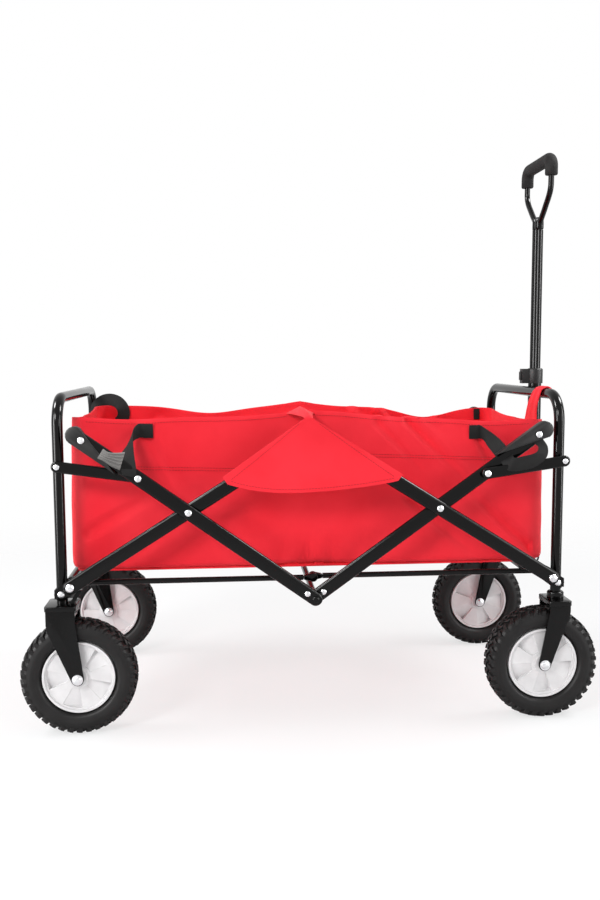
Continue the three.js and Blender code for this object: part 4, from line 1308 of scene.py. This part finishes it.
def rim_at(x, y):
    """Height of the rim; share runs from 0 at the near wall to 1 at the far wall."""
    share = (y / bag_half_width + 1) / 2
    sag = 0.009 * (1 - (y / bag_half_width) ** 2)
    near = near_rim(x) + 0.009 * peak(x, flap_x)
    far = far_rim(x) + 0.003 * peak(x, flap_x + far_flap_shift)
    return (1 - share) * near + share * far - sag


def hem_level(x):
    """Height of the hem's seam, which runs a little higher in front of the flap than behind it."""
    share = clamped((x + 0.05) / 0.15)
    share = share * share * (3 - 2 * share)
    return rim_level - 0.096 - 0.030 * x + share * (0.031 - 0.010 * x)


print("near rim at the posts and the middle:", [round(near_rim(x), 3) for x in (-post_x, 0, post_x)])

# %% [markdown]
# The next rules say how far a wall stands out from the flat: a slight belly, the thicker hem, diagonal
# folds where the cloth is pulled to a corner, gathers at the middle of the floor and a little unevenness.

# %% The bag's folds and swell
side_belly, end_belly = 0.0042, 0.0026
hem_swell = 0.0013          # the hem is folded cloth and thicker
corner_swell = 0.0045       # the bag fills its lower corners at the two ends
rim_pull = 0.0042           # the straps pull the rim in, but not at its middle
wide_creases, fine_creases = 0.0030, 0.0011
gather_depth, gather_lift, gather_pitch = 0.0052, 0.006, 0.0075
free_swell, more_swell = 0.0010, 0.0026
# Each fold of a side wall has the place where it starts, the place where it runs out, its depth and its
# half width.
side_folds = [
    ((0.174, rim_level - 0.008), (0.320, 0.400), 0.0095, 0.0070),
    ((0.412, 0.300), (0.225, 0.470), 0.0105, 0.0085),
    ((0.175, 0.400), (0.310, 0.290), 0.0075, 0.0080),
    ((-0.296, 0.520), (-0.235, 0.395), 0.0058, 0.0080),
    ((-0.408, 0.345), (-0.260, 0.430), 0.0070, 0.0090),
    ((0.302, 0.515), (0.352, 0.420), 0.0065, 0.0070),
    ((0.120, 0.540), (0.205, 0.450), 0.0060, 0.0065),
    ((-0.330, 0.300), (-0.200, 0.385), 0.0040, 0.0085),
]


def fold_depth(x, z, start, end, depth, half):
    """A soft valley from start to end, deepest at its start, for points in the wall's plane."""
    path = Vector((end[0] - start[0], end[1] - start[1]))
    share = clamped(((x - start[0]) * path.x + (z - start[1]) * path.y) / path.length_squared)
    away = math.hypot(x - start[0] - share * path.x, z - start[1] - share * path.y)
    return (0.5 * hill(away, 2 * half, half) - hill(away, 0, half)) * depth * (1 - share) ** 0.6


def cloth_offset(x, y, z, share):
    """How far the wall stands out at one place; share runs from 0 at the floor to 1 at the rim."""
    side_wall = abs(y) > bag_half_width - 0.001
    offset = (side_belly if side_wall else end_belly) * max(0.0, math.sin(math.pi * share)) ** 0.8
    offset += hem_swell * clamped((z - hem_level(x)) / 0.005)
    end_share = clamped(1 - (bag_half_length - abs(x)) / corner_radius)
    offset += corner_swell * end_share * (1 - share) ** 2
    along = x if side_wall else 3 * y
    offset -= rim_pull * share ** 3 * (1 - hill(along, 0, 0.1)) * (1 - (along / 0.55) ** 2)
    offset += wide_creases * noise.noise(Vector((9 * x, 9 * y, 7 * z)))
    offset += fine_creases * noise.noise(Vector((31 * x + 5, 31 * y, 24 * z)))
    if not side_wall:
        return offset
    offset += sum(fold_depth(x, z, *fold) for fold in side_folds)
    if y < 0:
        gather = hill(x, 0.005, 0.080) * hill(z, bag_low.z, 0.040)
        offset += gather_depth * gather * math.sin(x / gather_pitch)
    if offset <= free_swell:
        return offset
    # A large swell is pressed together, so that the wall keeps clear of the frame.
    return free_swell + more_swell * (1 - math.exp((free_swell - offset) / more_swell))


print("folds:", len(side_folds), "on each side wall")

# %% [markdown]
# A grid gives the tub's floor, and its corners are rounded. Its outline is drawn up in rows, so that the
# wall's points stand in straight columns, whose height counts from 0 to 1. The rules then drape them: they
# stretch each column to the rim, round the lower edge and push the wall in and out.

# %% Draw the tub
def past_corner(x, y):
    """How far a place lies past the start of the rounded corners, along x and along y."""
    return abs(x) - (bag_half_length - corner_radius), abs(y) - (bag_half_width - corner_radius)


def round_off(corner):
    past_x, past_y = past_corner(corner.co.x, corner.co.y)
    if past_x <= 0 or past_y <= 0:
        return None
    pull = max(past_x, past_y) / math.hypot(past_x, past_y)
    x = bag_half_length - corner_radius + past_x * pull
    y = bag_half_width - corner_radius + past_y * pull
    return math.copysign(x, corner.co.x), math.copysign(y, corner.co.y), corner.co.z


def drape(corner):
    """Moves a point of the straight wall, whose height counts from 0 to 1, to its place in the cloth."""
    x, y, share = corner.co.x, corner.co.y, corner.co.z - floor_z
    past_x, past_y = (max(0.0, past) for past in past_corner(x, y))
    if share <= 1e-6 and math.hypot(past_x, past_y) <= corner_radius - 1e-5:
        return None
    out = Vector((math.copysign(past_x, x), math.copysign(past_y, y), 0)).normalized()
    height = share * (rim_at(x, y) - floor_z)
    offset = cloth_offset(x, y, floor_z + height, share)
    if height < edge_round:
        offset -= edge_round - math.sqrt(edge_round ** 2 - (edge_round - height) ** 2)
    lift = 0.0
    if y < 0:
        ripple = 0.6 + 0.4 * math.sin(x / gather_pitch)
        lift = gather_lift * hill(x, 0.0, 0.085) * (1 - share) ** 4 * ripple
    return Vector((x + bag_shift, y, floor_z + height + lift)) + offset * out


deselect()
bpy.ops.mesh.primitive_grid_add(x_subdivisions=140, y_subdivisions=62, size=1, location=(0, 0, floor_z))
bag = bpy.context.object
bag.scale = (2 * bag_half_length, 2 * bag_half_width, 1)
settle(bag)
edit(bag)
move_corners(round_off)
pick("edges", lambda edge: edge.is_boundary)
rows = 48
for row in range(rows):
    run(z=1 / rows)
move_corners(drape)
close_up()
print("bag points:", len(bag.data.vertices))

# %% [markdown]
# The floor is sewn to the walls with a welt, a thin cord of cloth that hides the seam. It has to follow the
# tub's lower edge exactly, so it is made from a copy of that edge, which gets a round section.

# %% Floor welt
def on_lower_edge(edge):
    inside = not edge.is_boundary and all(len(corner.link_faces) == 4 for corner in edge.verts)
    return inside and edge.calc_face_angle(0) > 0.35 and abs(middle_of(edge).z - bag_low.z) < 0.004


edit(bag)
pick("edges", on_lower_edge)
bpy.ops.mesh.duplicate()
bpy.ops.mesh.separate(type="SELECTED")
bpy.ops.object.mode_set(mode="OBJECT")
welt = next(other for other in bpy.context.selected_objects if other != bag)
work_on(welt)
bpy.ops.object.convert(target="CURVE")
welt = bpy.context.object
welt.data.bevel_depth = 0.0018
welt.data.bevel_resolution = 2
bpy.ops.object.convert(target="MESH")
welt = bpy.context.object
edit(welt)
close_up()
finished(welt, "floor_welt", "rear_frame", "bag_fabric")
print("welt:", len(welt.data.polygons), "faces")

# %% [markdown]
# Up to here the tub is a single layer, whose points are easier to pick and to move than those of two. Now
# it gets the cloth's thickness, and a bevel rounds the rim.

# %% Cloth thickness
modify(bag, "SOLIDIFY", thickness=cloth_gauge, offset=-1)
soft_edges(bag, 0.0009, 2, 50)
lay_out(bag)
finished(bag, "fabric_tub", "rear_frame", "bag_fabric", ["bag"], angle=60)
print("tub:", len(bag.data.polygons), "faces")

# %% [markdown]
# ## Flaps, straps and the hanger
# A triangular flap is sewn to each long rim's peak. It goes over the arms' top joint on a rounded shoulder
# and hangs in front of it, wider towards its curved lower edge. The flap is a grid whose rows follow that
# path, because a flat triangle would have to be bent over the joint afterwards.

# %% The flap's path
flap_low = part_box("bag_flap_near")[0]
flap_gauge = 0.0016
flap_in = -bag_half_width - 0.0016
flap_out = flap_low.y + 0.0012
shoulder_z = top.z + 0.0230
flap_peak = Vector((flap_x, flap_in, near_rim(flap_x) + 0.0085))
apex_x = -0.012
left_end, right_end = -0.160, 0.152
peak_half, shoulder_half = 0.024, 0.007
roof = 0.24                 # the part of the flap's rows that lies over the top joint
corner_from, corner_span, corner_rise = 0.93, 0.07, 0.010        # the rounded ends of its hem


def flap_hem(x):
    """Height of the flap's curved lower edge."""
    lowest = -0.045
    rise = 1.45 if x < lowest else 0.50
    return flap_low.z - 0.0005 + rise * (x - lowest) ** 2


def flap_point(across, down):
    """A place on the flap: across runs from -1 to 1, down from 0 at the rim to 1 at the hem."""
    if down < roof:
        turn = down / roof * math.pi / 2
        y = flap_in + (flap_out - flap_in) * math.sin(turn)
        z = shoulder_z + (flap_peak.z - shoulder_z) * math.cos(turn)
        width = peak_half + (shoulder_half - peak_half) * math.sin(turn) ** 0.8
        x = flap_peak.x + (apex_x - flap_peak.x) * math.sin(turn) + across * width
        return Vector((x, y, z - 0.012 * abs(across) * math.cos(turn)))
    share = (down - roof) / (1 - roof)
    start_x = apex_x + shoulder_half * across
    end_x = left_end + (right_end - left_end) * (across + 1) / 2
    low = flap_hem(end_x) + corner_rise * max(0.0, (abs(across) - corner_from) / corner_span) ** 2.5
    x = start_x + (end_x - start_x) * share
    z = shoulder_z + (low - shoulder_z) * share
    ripple = 0.0016 * math.sin(2.4 * across + 0.6) * share
    ripple += 0.0010 * noise.noise(Vector((24 * x, 3, 18 * z)))
    return Vector((x, flap_out + ripple * share + 0.0006 * share, z))


print("flap from", round(flap_peak.z, 3), "down to", round(flap_hem(apex_x), 3))

# %% Flaps
deselect()
bpy.ops.mesh.primitive_grid_add(x_subdivisions=40, y_subdivisions=44, size=1)
flap = bpy.context.object
edit(flap)
move_corners(lambda corner: flap_point(2 * corner.co.x, 0.5 - corner.co.y))
close_up()
flap_height = sum((flap_point(0, (step + 1) / 60) - flap_point(0, step / 60)).length for step in range(60))
modify(flap, "SOLIDIFY", thickness=flap_gauge, offset=0)
soft_edges(flap, 0.0005, 2, 60)
lay_out(flap)
to_far_side = Matrix.Translation((far_flap_shift, 0, -far_flap_drop)) @ Matrix.Scale(-1, 4, (0, 1, 0))
far_flap = copied(flap, to_far_side)
edit(far_flap)
close_up()
for label, piece in {"near": flap, "far": far_flap}.items():
    finished(piece, f"fabric_flap_{label}", "rear_frame", "bag_fabric", [f"bag_flap_{label}"], angle=50)

# %% [markdown]
# Webbing straps tie the bag to the arms. A strap is a grid whose rows follow a smooth path and whose width
# lies along a direction given at each place, so that it can twist from the wall to the arm as webbing does.
# It then gets its thickness and softly rounded edges.

# %% Helper: a strap along a path
def smooth_path(spots, per_span=6):
    """Points of a smooth curve through the spots (Catmull-Rom)."""
    ends = [2 * spots[0] - spots[1], *spots, 2 * spots[-1] - spots[-2]]
    path = []
    for before, start, stop, after in zip(ends, ends[1:], ends[2:], ends[3:]):
        for step in range(per_span):
            t = step / per_span
            square = (2 * before - 5 * start + 4 * stop - after) * t ** 2
            cube = (3 * start - before - 3 * stop + after) * t ** 3
            path.append(0.5 * (2 * start + (stop - before) * t + square + cube))
    path.append(spots[-1])
    return path


def strap(name, stations, body="rear_frame", slot="webbing", gauge=0.0016, pleats=0, lengthwise=2, nodes=(),
          material=None):
    """stations: (place, direction of the width, width) at each place along the strap."""
    places = smooth_path([Vector(place) for place, across, width in stations])
    across = smooth_path([Vector(direction).normalized() * width for place, direction, width in stations])
    steps = len(places) - 1

    def laid(corner):
        step = round((corner.co.x + 0.5) * steps)
        share = corner.co.y
        along = (places[min(step + 1, steps)] - places[max(step - 1, 0)]).normalized()
        out = along.cross(across[step]).normalized()
        wave = 0.0012 * math.sin(share * pleats * 2 * math.pi) * (0.35 + step / steps)
        return places[step] + across[step] * share + wave * out

    deselect()
    bpy.ops.mesh.primitive_grid_add(x_subdivisions=steps, y_subdivisions=lengthwise, size=1)
    band = bpy.context.object
    edit(band)
    move_corners(laid)
    close_up()
    modify(band, "SOLIDIFY", thickness=gauge, offset=0)
    soft_edges(band, 0.0004, 2, 50)
    lay_out(band)
    return finished(band, name, body, slot, nodes, angle=40, material=material)


# %% [markdown]
# At each upper corner a strap starts on a patch on the wall, crosses the gap and lies flat on the arm. The
# front ones also turn back over the arm's edge. A gathered black strap lies on each rear arm; its grey
# colour is painted sheen on the gathers.

# %% Straps at the bag's upper corners
strap_width = 0.025
patch_drop = 0.0215
UP, ALONG, ACROSS = (0, 0, 1), (1, 0, 0), (0, 1, 0)
bag_straps = []


def corner_straps(label, side):
    """Three straps of one side; out counts away from the wagon's middle."""
    def patch(patch_x, x=0.0, out=0.0, z=0.0):
        """A place beside the patch that is sewn to the wall at patch_x."""
        rim = rim_at(patch_x, side * bag_half_width)
        start = Vector((patch_x, side * (bag_half_width + 0.0034), rim - patch_drop))
        return start + Vector((x, side * out, z))

    def arm(x, out, z):
        """A place on the arms' outer face."""
        return x, side * (arm_face + 0.0012) + side * out, z

    rear, front = -0.282, 0.287
    bag_straps.append(strap(f"rear_corner_strap_{label}", [
        (patch(rear), UP, strap_width),
        (patch(rear, -0.012, 0.0004), UP, strap_width),
        (patch(rear, -0.026, 0.0008), UP, strap_width),
        (patch(rear, -0.038, 0.016, -0.012), (0.35, 0, 0.9), strap_width),
        (patch(rear, -0.042, 0.044, -0.036), (0.95, 0, 0.3), strap_width),
        (arm(-0.3195, -0.004, 0.474), ALONG, strap_width),
        (arm(-0.3180, 0, 0.4575), (1, 0, -0.25), strap_width),
    ]))
    bag_straps.append(strap(f"front_corner_strap_{label}", [
        (patch(front), UP, strap_width),
        (patch(front, 0.014, 0.0004), UP, strap_width),
        (patch(front, 0.024, 0.0006, -0.001), (-0.15, 0, 1), strap_width),
        (patch(front, 0.040, 0.020, -0.018), (0.75, 0, 0.65), strap_width),
        (patch(front, 0.052, 0.052, -0.040), (0.85, 0, 0.5), strap_width),
        (arm(0.346, 0, 0.4690), (0.4, 0, 0.9), strap_width),
        (arm(0.366, 0.0012, 0.4710), UP, strap_width),
        (arm(0.386, 0.0010, 0.4760), (-0.35, 0, 0.9), strap_width * 0.92),
        (arm(0.400, -0.0010, 0.4860), (-0.8, 0, 0.55), strap_width * 0.80),
        (arm(0.403, -0.0060, 0.4985), (-1, 0, 0.1), strap_width * 0.72),
        (arm(0.396, -0.0120, 0.5090), (-0.9, 0.2, -0.4), strap_width * 0.72),
    ]))
    # The grey of this strap is painted sheen on the gathers of a black strap.
    bag_straps.append(strap(f"gathered_strap_{label}", [
        (arm(-0.3655, 0.0016, 0.4975), (0.55, 0, 0.83), 0.019),
        (arm(-0.3560, 0.0040, 0.4925), (0.50, 0, 0.86), 0.017),
        (arm(-0.3440, 0.0030, 0.4875), (0.42, 0, 0.90), 0.024),
        (arm(-0.3290, 0.0010, 0.4840), (0.30, 0, 0.95), 0.032),
    ], gauge=0.0009, pleats=5, lengthwise=40, material=painted_sheen_cloth))


for label, side in SIDES.items():
    corner_straps(label, side)
print("corner straps:", len(bag_straps))

# %% [markdown]
# Two small pieces of webbing show at the far rim: a loop that arches over it and a patch inside it.

# %% Straps at the far rim
arch_middle = Vector((-0.402, bag_half_width, 0.541))
arch = []
for degrees in (205, 175, 145, 115, 85, 55, 25, -5, -30, -50):
    out = Vector((math.cos(math.radians(degrees)), 0, math.sin(math.radians(degrees))))
    inward = 0.015 * clamped((110 - degrees) / 80)
    place = arch_middle + Vector((0.031 * out.x, 0.006 - inward, 0.028 * out.z))
    arch.append((place, out + Vector((0, 0.3, 0)), 0.026))
bag_straps.append(strap("rim_loop", arch))
patch_x, patch_width = 0.398, 0.013
rim_z = rim_at(patch_x, bag_half_width)
bag_straps.append(strap("rim_patch", [
    ((patch_x, bag_half_width - 0.0052, rim_z - 0.026), ALONG, patch_width),
    ((patch_x, bag_half_width - 0.0048, rim_z - 0.014), ALONG, patch_width),
    ((patch_x, bag_half_width - 0.0048, rim_z - 0.002), ALONG, patch_width),
]))
print("straps:", len(bag_straps))

# %% [markdown]
# A loop of the bag's own cloth hangs the front wall on the hoop. It leaves the wall wide and gathered,
# rises, and turns round the bar; a short tab of webbing hangs from the bar beside it.

# %% Hanger over the front hoop
hanger_low, hanger_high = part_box("bag_hanger")
hanger_y = (hanger_low.y + hanger_high.y) / 2
wrap = tube_radius + 0.0018


def round_hoop(degrees, outward=0.0):
    """A place on the hanger's turn about the hoop's bar, outward of where it lies snug."""
    angle = math.radians(degrees)
    reach = wrap + outward
    return post_x + reach * math.cos(angle), hanger_y, hoop_bar_z + reach * math.sin(angle)


def from_end_wall(x, y, z):
    return bag_half_length + bag_shift + x, hanger_y + y, rim_level + z


def under_bar(x, z):
    return post_x + x, hanger_y + 0.030, hoop_bar_z - tube_radius + z


hanger = strap("hanging_loop", [
    (from_end_wall(0.0006, 0.038, -0.030), ACROSS, 0.066),
    (from_end_wall(0.0006, 0.031, -0.014), (0, 1, 0.1), 0.062),
    (from_end_wall(-0.0010, 0.020, 0.006), (0, 1, 0.2), 0.052),
    (from_end_wall(-0.0020, 0.008, 0.022), (0, 1, 0.2), 0.044),
    (round_hoop(165, 0.001), ACROSS, 0.042),
    *((round_hoop(degrees), ACROSS, 0.040) for degrees in (125, 85, 45, 10)),
    (round_hoop(-15, 0.0004), ACROSS, 0.041),
], "front_frame", "bag_fabric", gauge=0.0022, pleats=2, lengthwise=20, nodes=["bag_hanger"])
strap("hanger_tab", [
    (under_bar(-0.0020, -0.0012), (0.1, 1, 0), 0.020),
    (under_bar(-0.0060, -0.0100), ACROSS, 0.020),
    (under_bar(-0.0090, -0.0290), ACROSS, 0.020),
], "front_frame")
print("hanger:", [round(1000 * size) for size in hanger.dimensions], "mm")

# %% [markdown]
# Inside, four stiff panels in one cover of cloth lie on the bag's floor, with a hinge seam between each
# pair. One panel is modelled and copied, and a thin sheet low between them makes the hinges.

# %% Floor mat
mat_gap = 0.0055
mat_half_length, mat_half_width = bag_half_length - 0.012, bag_half_width - 0.013
panel_count, panel_depth = 4, 0.0060
panel_length = (2 * mat_half_length - (panel_count - 1) * mat_gap) / panel_count
mat_z = bag_low.z + 0.0036
panel = block((-mat_half_length + panel_length / 2, 0, mat_z + panel_depth / 2),
              (panel_length, 2 * mat_half_width, panel_depth))
soft_edges(panel, 0.0024, 4)
panels = [panel]
for place in range(1, panel_count):
    panels.append(copied(panel, Matrix.Translation((place * (panel_length + mat_gap), 0, 0))))
hinge_cloth = block((0, 0, mat_z + 0.0012),
                    (2 * mat_half_length - 0.006, 2 * mat_half_width - 0.006, 0.0016))
mat = joined([*panels, hinge_cloth])
lay_out(mat)
finished(mat, "floor_mat", "rear_frame", "bag_fabric")
print("floor mat:", panel_count, "panels of", round(1000 * panel_length), "mm")

# %% [markdown]
# Stitches hold the hem, the rim and the flap's edge. One short thread end is modelled. An array repeats it
# and a curve laid on the cloth carries the row, so the stitches follow every rise and fold.

# %% Helpers: stitches
stitch_pitch, stitch_length, stitch_radius, stitch_rise = 0.0052, 0.0034, 0.00042, 0.0005
seam_width = 0.0048         # between the two rows of a hem's seam
rim_seam = 0.0078           # below the rim


def stitch_row(places):
    """A row of stitches along a line of places."""
    line = bpy.data.curves.new("guide", "CURVE")
    line.dimensions = "3D"
    spline = line.splines.new("POLY")
    spline.points.add(len(places) - 1)
    for point, place in zip(spline.points, places):
        point.co = (*place, 1)
    guide = bpy.data.objects.new("guide", line)
    bpy.context.collection.objects.link(guide)
    middle = (stitch_pitch / 2, 0, 0)
    row = drum(stitch_radius, stitch_length, middle, 6, (0, math.pi / 2, 0))
    pick("faces", lambda face: abs(face.normal.x) > 0.9)
    bpy.ops.mesh.inset(thickness=0.4 * stitch_radius)
    bpy.ops.transform.resize(value=(1.12, 1, 1), center_override=middle)
    bpy.ops.object.mode_set(mode="OBJECT")
    length = sum((after - before).length for before, after in zip(places, places[1:]))
    modify(row, "ARRAY", fit_type="FIXED_COUNT", count=max(1, int(length / stitch_pitch)),
           use_relative_offset=False, use_constant_offset=True,
           constant_offset_displace=(stitch_pitch, 0, 0))
    modify(row, "CURVE", object=guide, deform_axis="POS_X")
    bpy.data.objects.remove(guide)
    return row


def spread(half, count):
    """Evenly spaced values from -half to half."""
    return [half * (2 * step / count - 1) for step in range(count + 1)]


def on_wall(x, y, z, out):
    """A place on the tub's wall, a little proud of it; out is the wall's direction as (x, y)."""
    share = (z - floor_z) / (rim_at(x, y) - floor_z)
    stand = cloth_offset(x, y, z, share) + stitch_rise
    return Vector((x + bag_shift + out[0] * stand, y + out[1] * stand, z))


def seam_rows(line, out):
    """Two rows at the hem's seam and one at the rim, along a wall's line of (x, y) places."""
    rows = [[on_wall(x, y, hem_level(x) - drop, out) for x, y in line] for drop in (0, seam_width)]
    rows.append([on_wall(x, y, rim_at(x, y) - rim_seam, out) for x, y in line])
    return [stitch_row(row) for row in rows]


# %% Stitches
# The stitches' thread is darker than the cloth, which paints the line of shade along each seam.
rows = []
corner_room = corner_radius + 0.002
for side in (-1, 1):
    line = [(x, side * bag_half_width) for x in spread(bag_half_length - corner_room, 160)]
    rows += seam_rows(line, (0, side))
for end in (-1, 1):
    line = [(end * bag_half_length, y) for y in spread(bag_half_width - corner_room, 60)]
    rows += seam_rows(line, (end, 0))
hem_stitches = finished(joined(rows), "hem_stitches", "rear_frame", "bag_fabric", material=thread)

proud = Vector((0, -flap_gauge / 2 - 0.0001, 0))
downs = [0.30 + 0.66 * step / 60 for step in range(61)]
flap_lines = [[flap_point(side * (1 - 0.05 / (0.25 + down)), down) for down in downs] for side in (-1, 1)]
flap_lines.append([flap_point(across, 0.965) for across in spread(0.95, 80)])
near_stitches = joined([stitch_row([place + proud for place in line]) for line in flap_lines])
far_stitches = copied(near_stitches, to_far_side)
for label, piece in {"near": near_stitches, "far": far_stitches}.items():
    finished(piece, f"flap_stitches_{label}", "rear_frame", "bag_fabric", material=thread)
print("stitches:", len(hem_stitches.data.polygons), "faces on the hem")

# %% [markdown]
# The bag and what is sewn to it ride on the rear frame. Each of these pieces is given a mesh of its own.

# %% Bag pieces with meshes of their own
bag_pieces = [bag, welt, mat, flap, far_flap, near_stitches, far_stitches, hem_stitches, *bag_straps]
for piece in bag_pieces:
    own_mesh(piece)
print("bag pieces that fold:", len(bag_pieces))

# %% [markdown]
# ## Studio
# The floor is pale and keeps the wagon's shadow; it fades out towards the horizon. A large key light stands
# at the upper left, a broad fill at the right, a weak one low at the left for the wheels, and a bank over
# each end. Strips and cards that only reflections see draw the lines of light along the tubes and arms. The
# world is white to the camera and to reflections, and dimmer as a light.

# %% Floor
deselect()
bpy.ops.mesh.primitive_plane_add(size=14)
floor = bpy.context.object
floor.name = "studio_floor"
floor_paint = bpy.data.materials.new("studio_floor")
floor_paint.use_nodes = True
tree = floor_paint.node_tree
matt = tree.nodes["Principled BSDF"]
matt.inputs["Base Color"].default_value = (0.84, 0.85, 0.86, 1)
matt.inputs["Roughness"].default_value = 0.9
lit = add(tree, "ShaderNodeEmission", {"Color": (1, 1, 1, 1), "Strength": 1.0})
paths = add(tree, "ShaderNodeLightPath")
glow = calc(tree, "MULTIPLY", paths.outputs["Is Camera Ray"], 0.68)
shown = add(tree, "ShaderNodeMixShader", {0: glow, 1: matt.outputs[0], 2: lit.outputs[0]})
where = add(tree, "ShaderNodeTexCoord")
away = add(tree, "ShaderNodeVectorMath", {0: where.outputs["Object"]}, operation="LENGTH")
fade = add(tree, "ShaderNodeMapRange", {"Value": away.outputs["Value"], "From Min": 0.8, "From Max": 2.4},
           interpolation_type="SMOOTHERSTEP")
clear = add(tree, "ShaderNodeBsdfTransparent")
faded = add(tree, "ShaderNodeMixShader", {0: fade.outputs["Result"], 1: shown.outputs[0],
                                          2: clear.outputs[0]})
tree.links.new(faded.outputs[0], tree.nodes["Material Output"].inputs["Surface"])
floor.data.materials.append(floor_paint)
print("floor:", round(floor.dimensions.x), "m wide")


# %% Lights and world
def area_light(name, at, target_z, size, power, height=None, only_gloss=False):
    data = bpy.data.lights.new(name, "AREA")
    data.shape = "ELLIPSE"
    data.size, data.size_y = size, height or size
    data.energy = power
    lamp = bpy.data.objects.new(name, data)
    lamp.location = at
    lamp.visible_diffuse = not only_gloss
    toward = Vector((0, 0, target_z)) - Vector(at)
    lamp.rotation_euler = toward.to_track_quat("-Z", "Y").to_euler()
    bpy.context.collection.objects.link(lamp)


area_light("key", (-1.9, -2.6, 2.2), target_z=0.4, size=1.1, power=66)
area_light("fill", (2.4, -2.6, 1.2), target_z=0.4, size=1.6, power=21)
area_light("low_fill", (-2.6, -2.3, 0.5), target_z=0.3, size=1.0, power=11)
area_light("left_bank", (-2.0, 0.0, 2.4), target_z=0.3, size=1.0, power=34)
area_light("right_bank", (2.0, 0.0, 2.4), target_z=0.3, size=1.0, power=34)
area_light("left_strip", (-2.3, -1.2, 0.9), target_z=0.5, size=0.6, power=90, height=2.2, only_gloss=True)
area_light("right_strip", (2.3, -1.0, 0.9), target_z=0.5, size=0.4, power=50, height=2.2, only_gloss=True)
area_light("left_card", (-1.9, -0.1, 2.3), target_z=0.3, size=0.7, power=45, only_gloss=True)
area_light("right_card", (1.9, -0.1, 2.3), target_z=0.3, size=0.7, power=45, only_gloss=True)

world = bpy.data.worlds.new("studio")
bpy.context.scene.world = world
world.use_nodes = True
sky = world.node_tree
background = sky.nodes["Background"]
paths = add(sky, "ShaderNodeLightPath")
seen = calc(sky, "MAXIMUM", paths.outputs["Is Camera Ray"], paths.outputs["Is Glossy Ray"])
seen = calc(sky, "MAXIMUM", seen, paths.outputs["Is Transmission Ray"])
ambient = 0.46
strength = add(sky, "ShaderNodeMapRange", {"Value": seen, "To Min": ambient, "To Max": 1.0})
sky.links.new(strength.outputs["Result"], background.inputs["Strength"])
background.inputs["Color"].default_value = (1, 1, 1, 1)
bpy.context.scene.view_settings.view_transform = "Standard"
print("lamps:", len(bpy.data.lights))

# %% [markdown]
# Last, the finished pieces are counted.

# %% Count the finished pieces
print("finished pieces:", len(made))
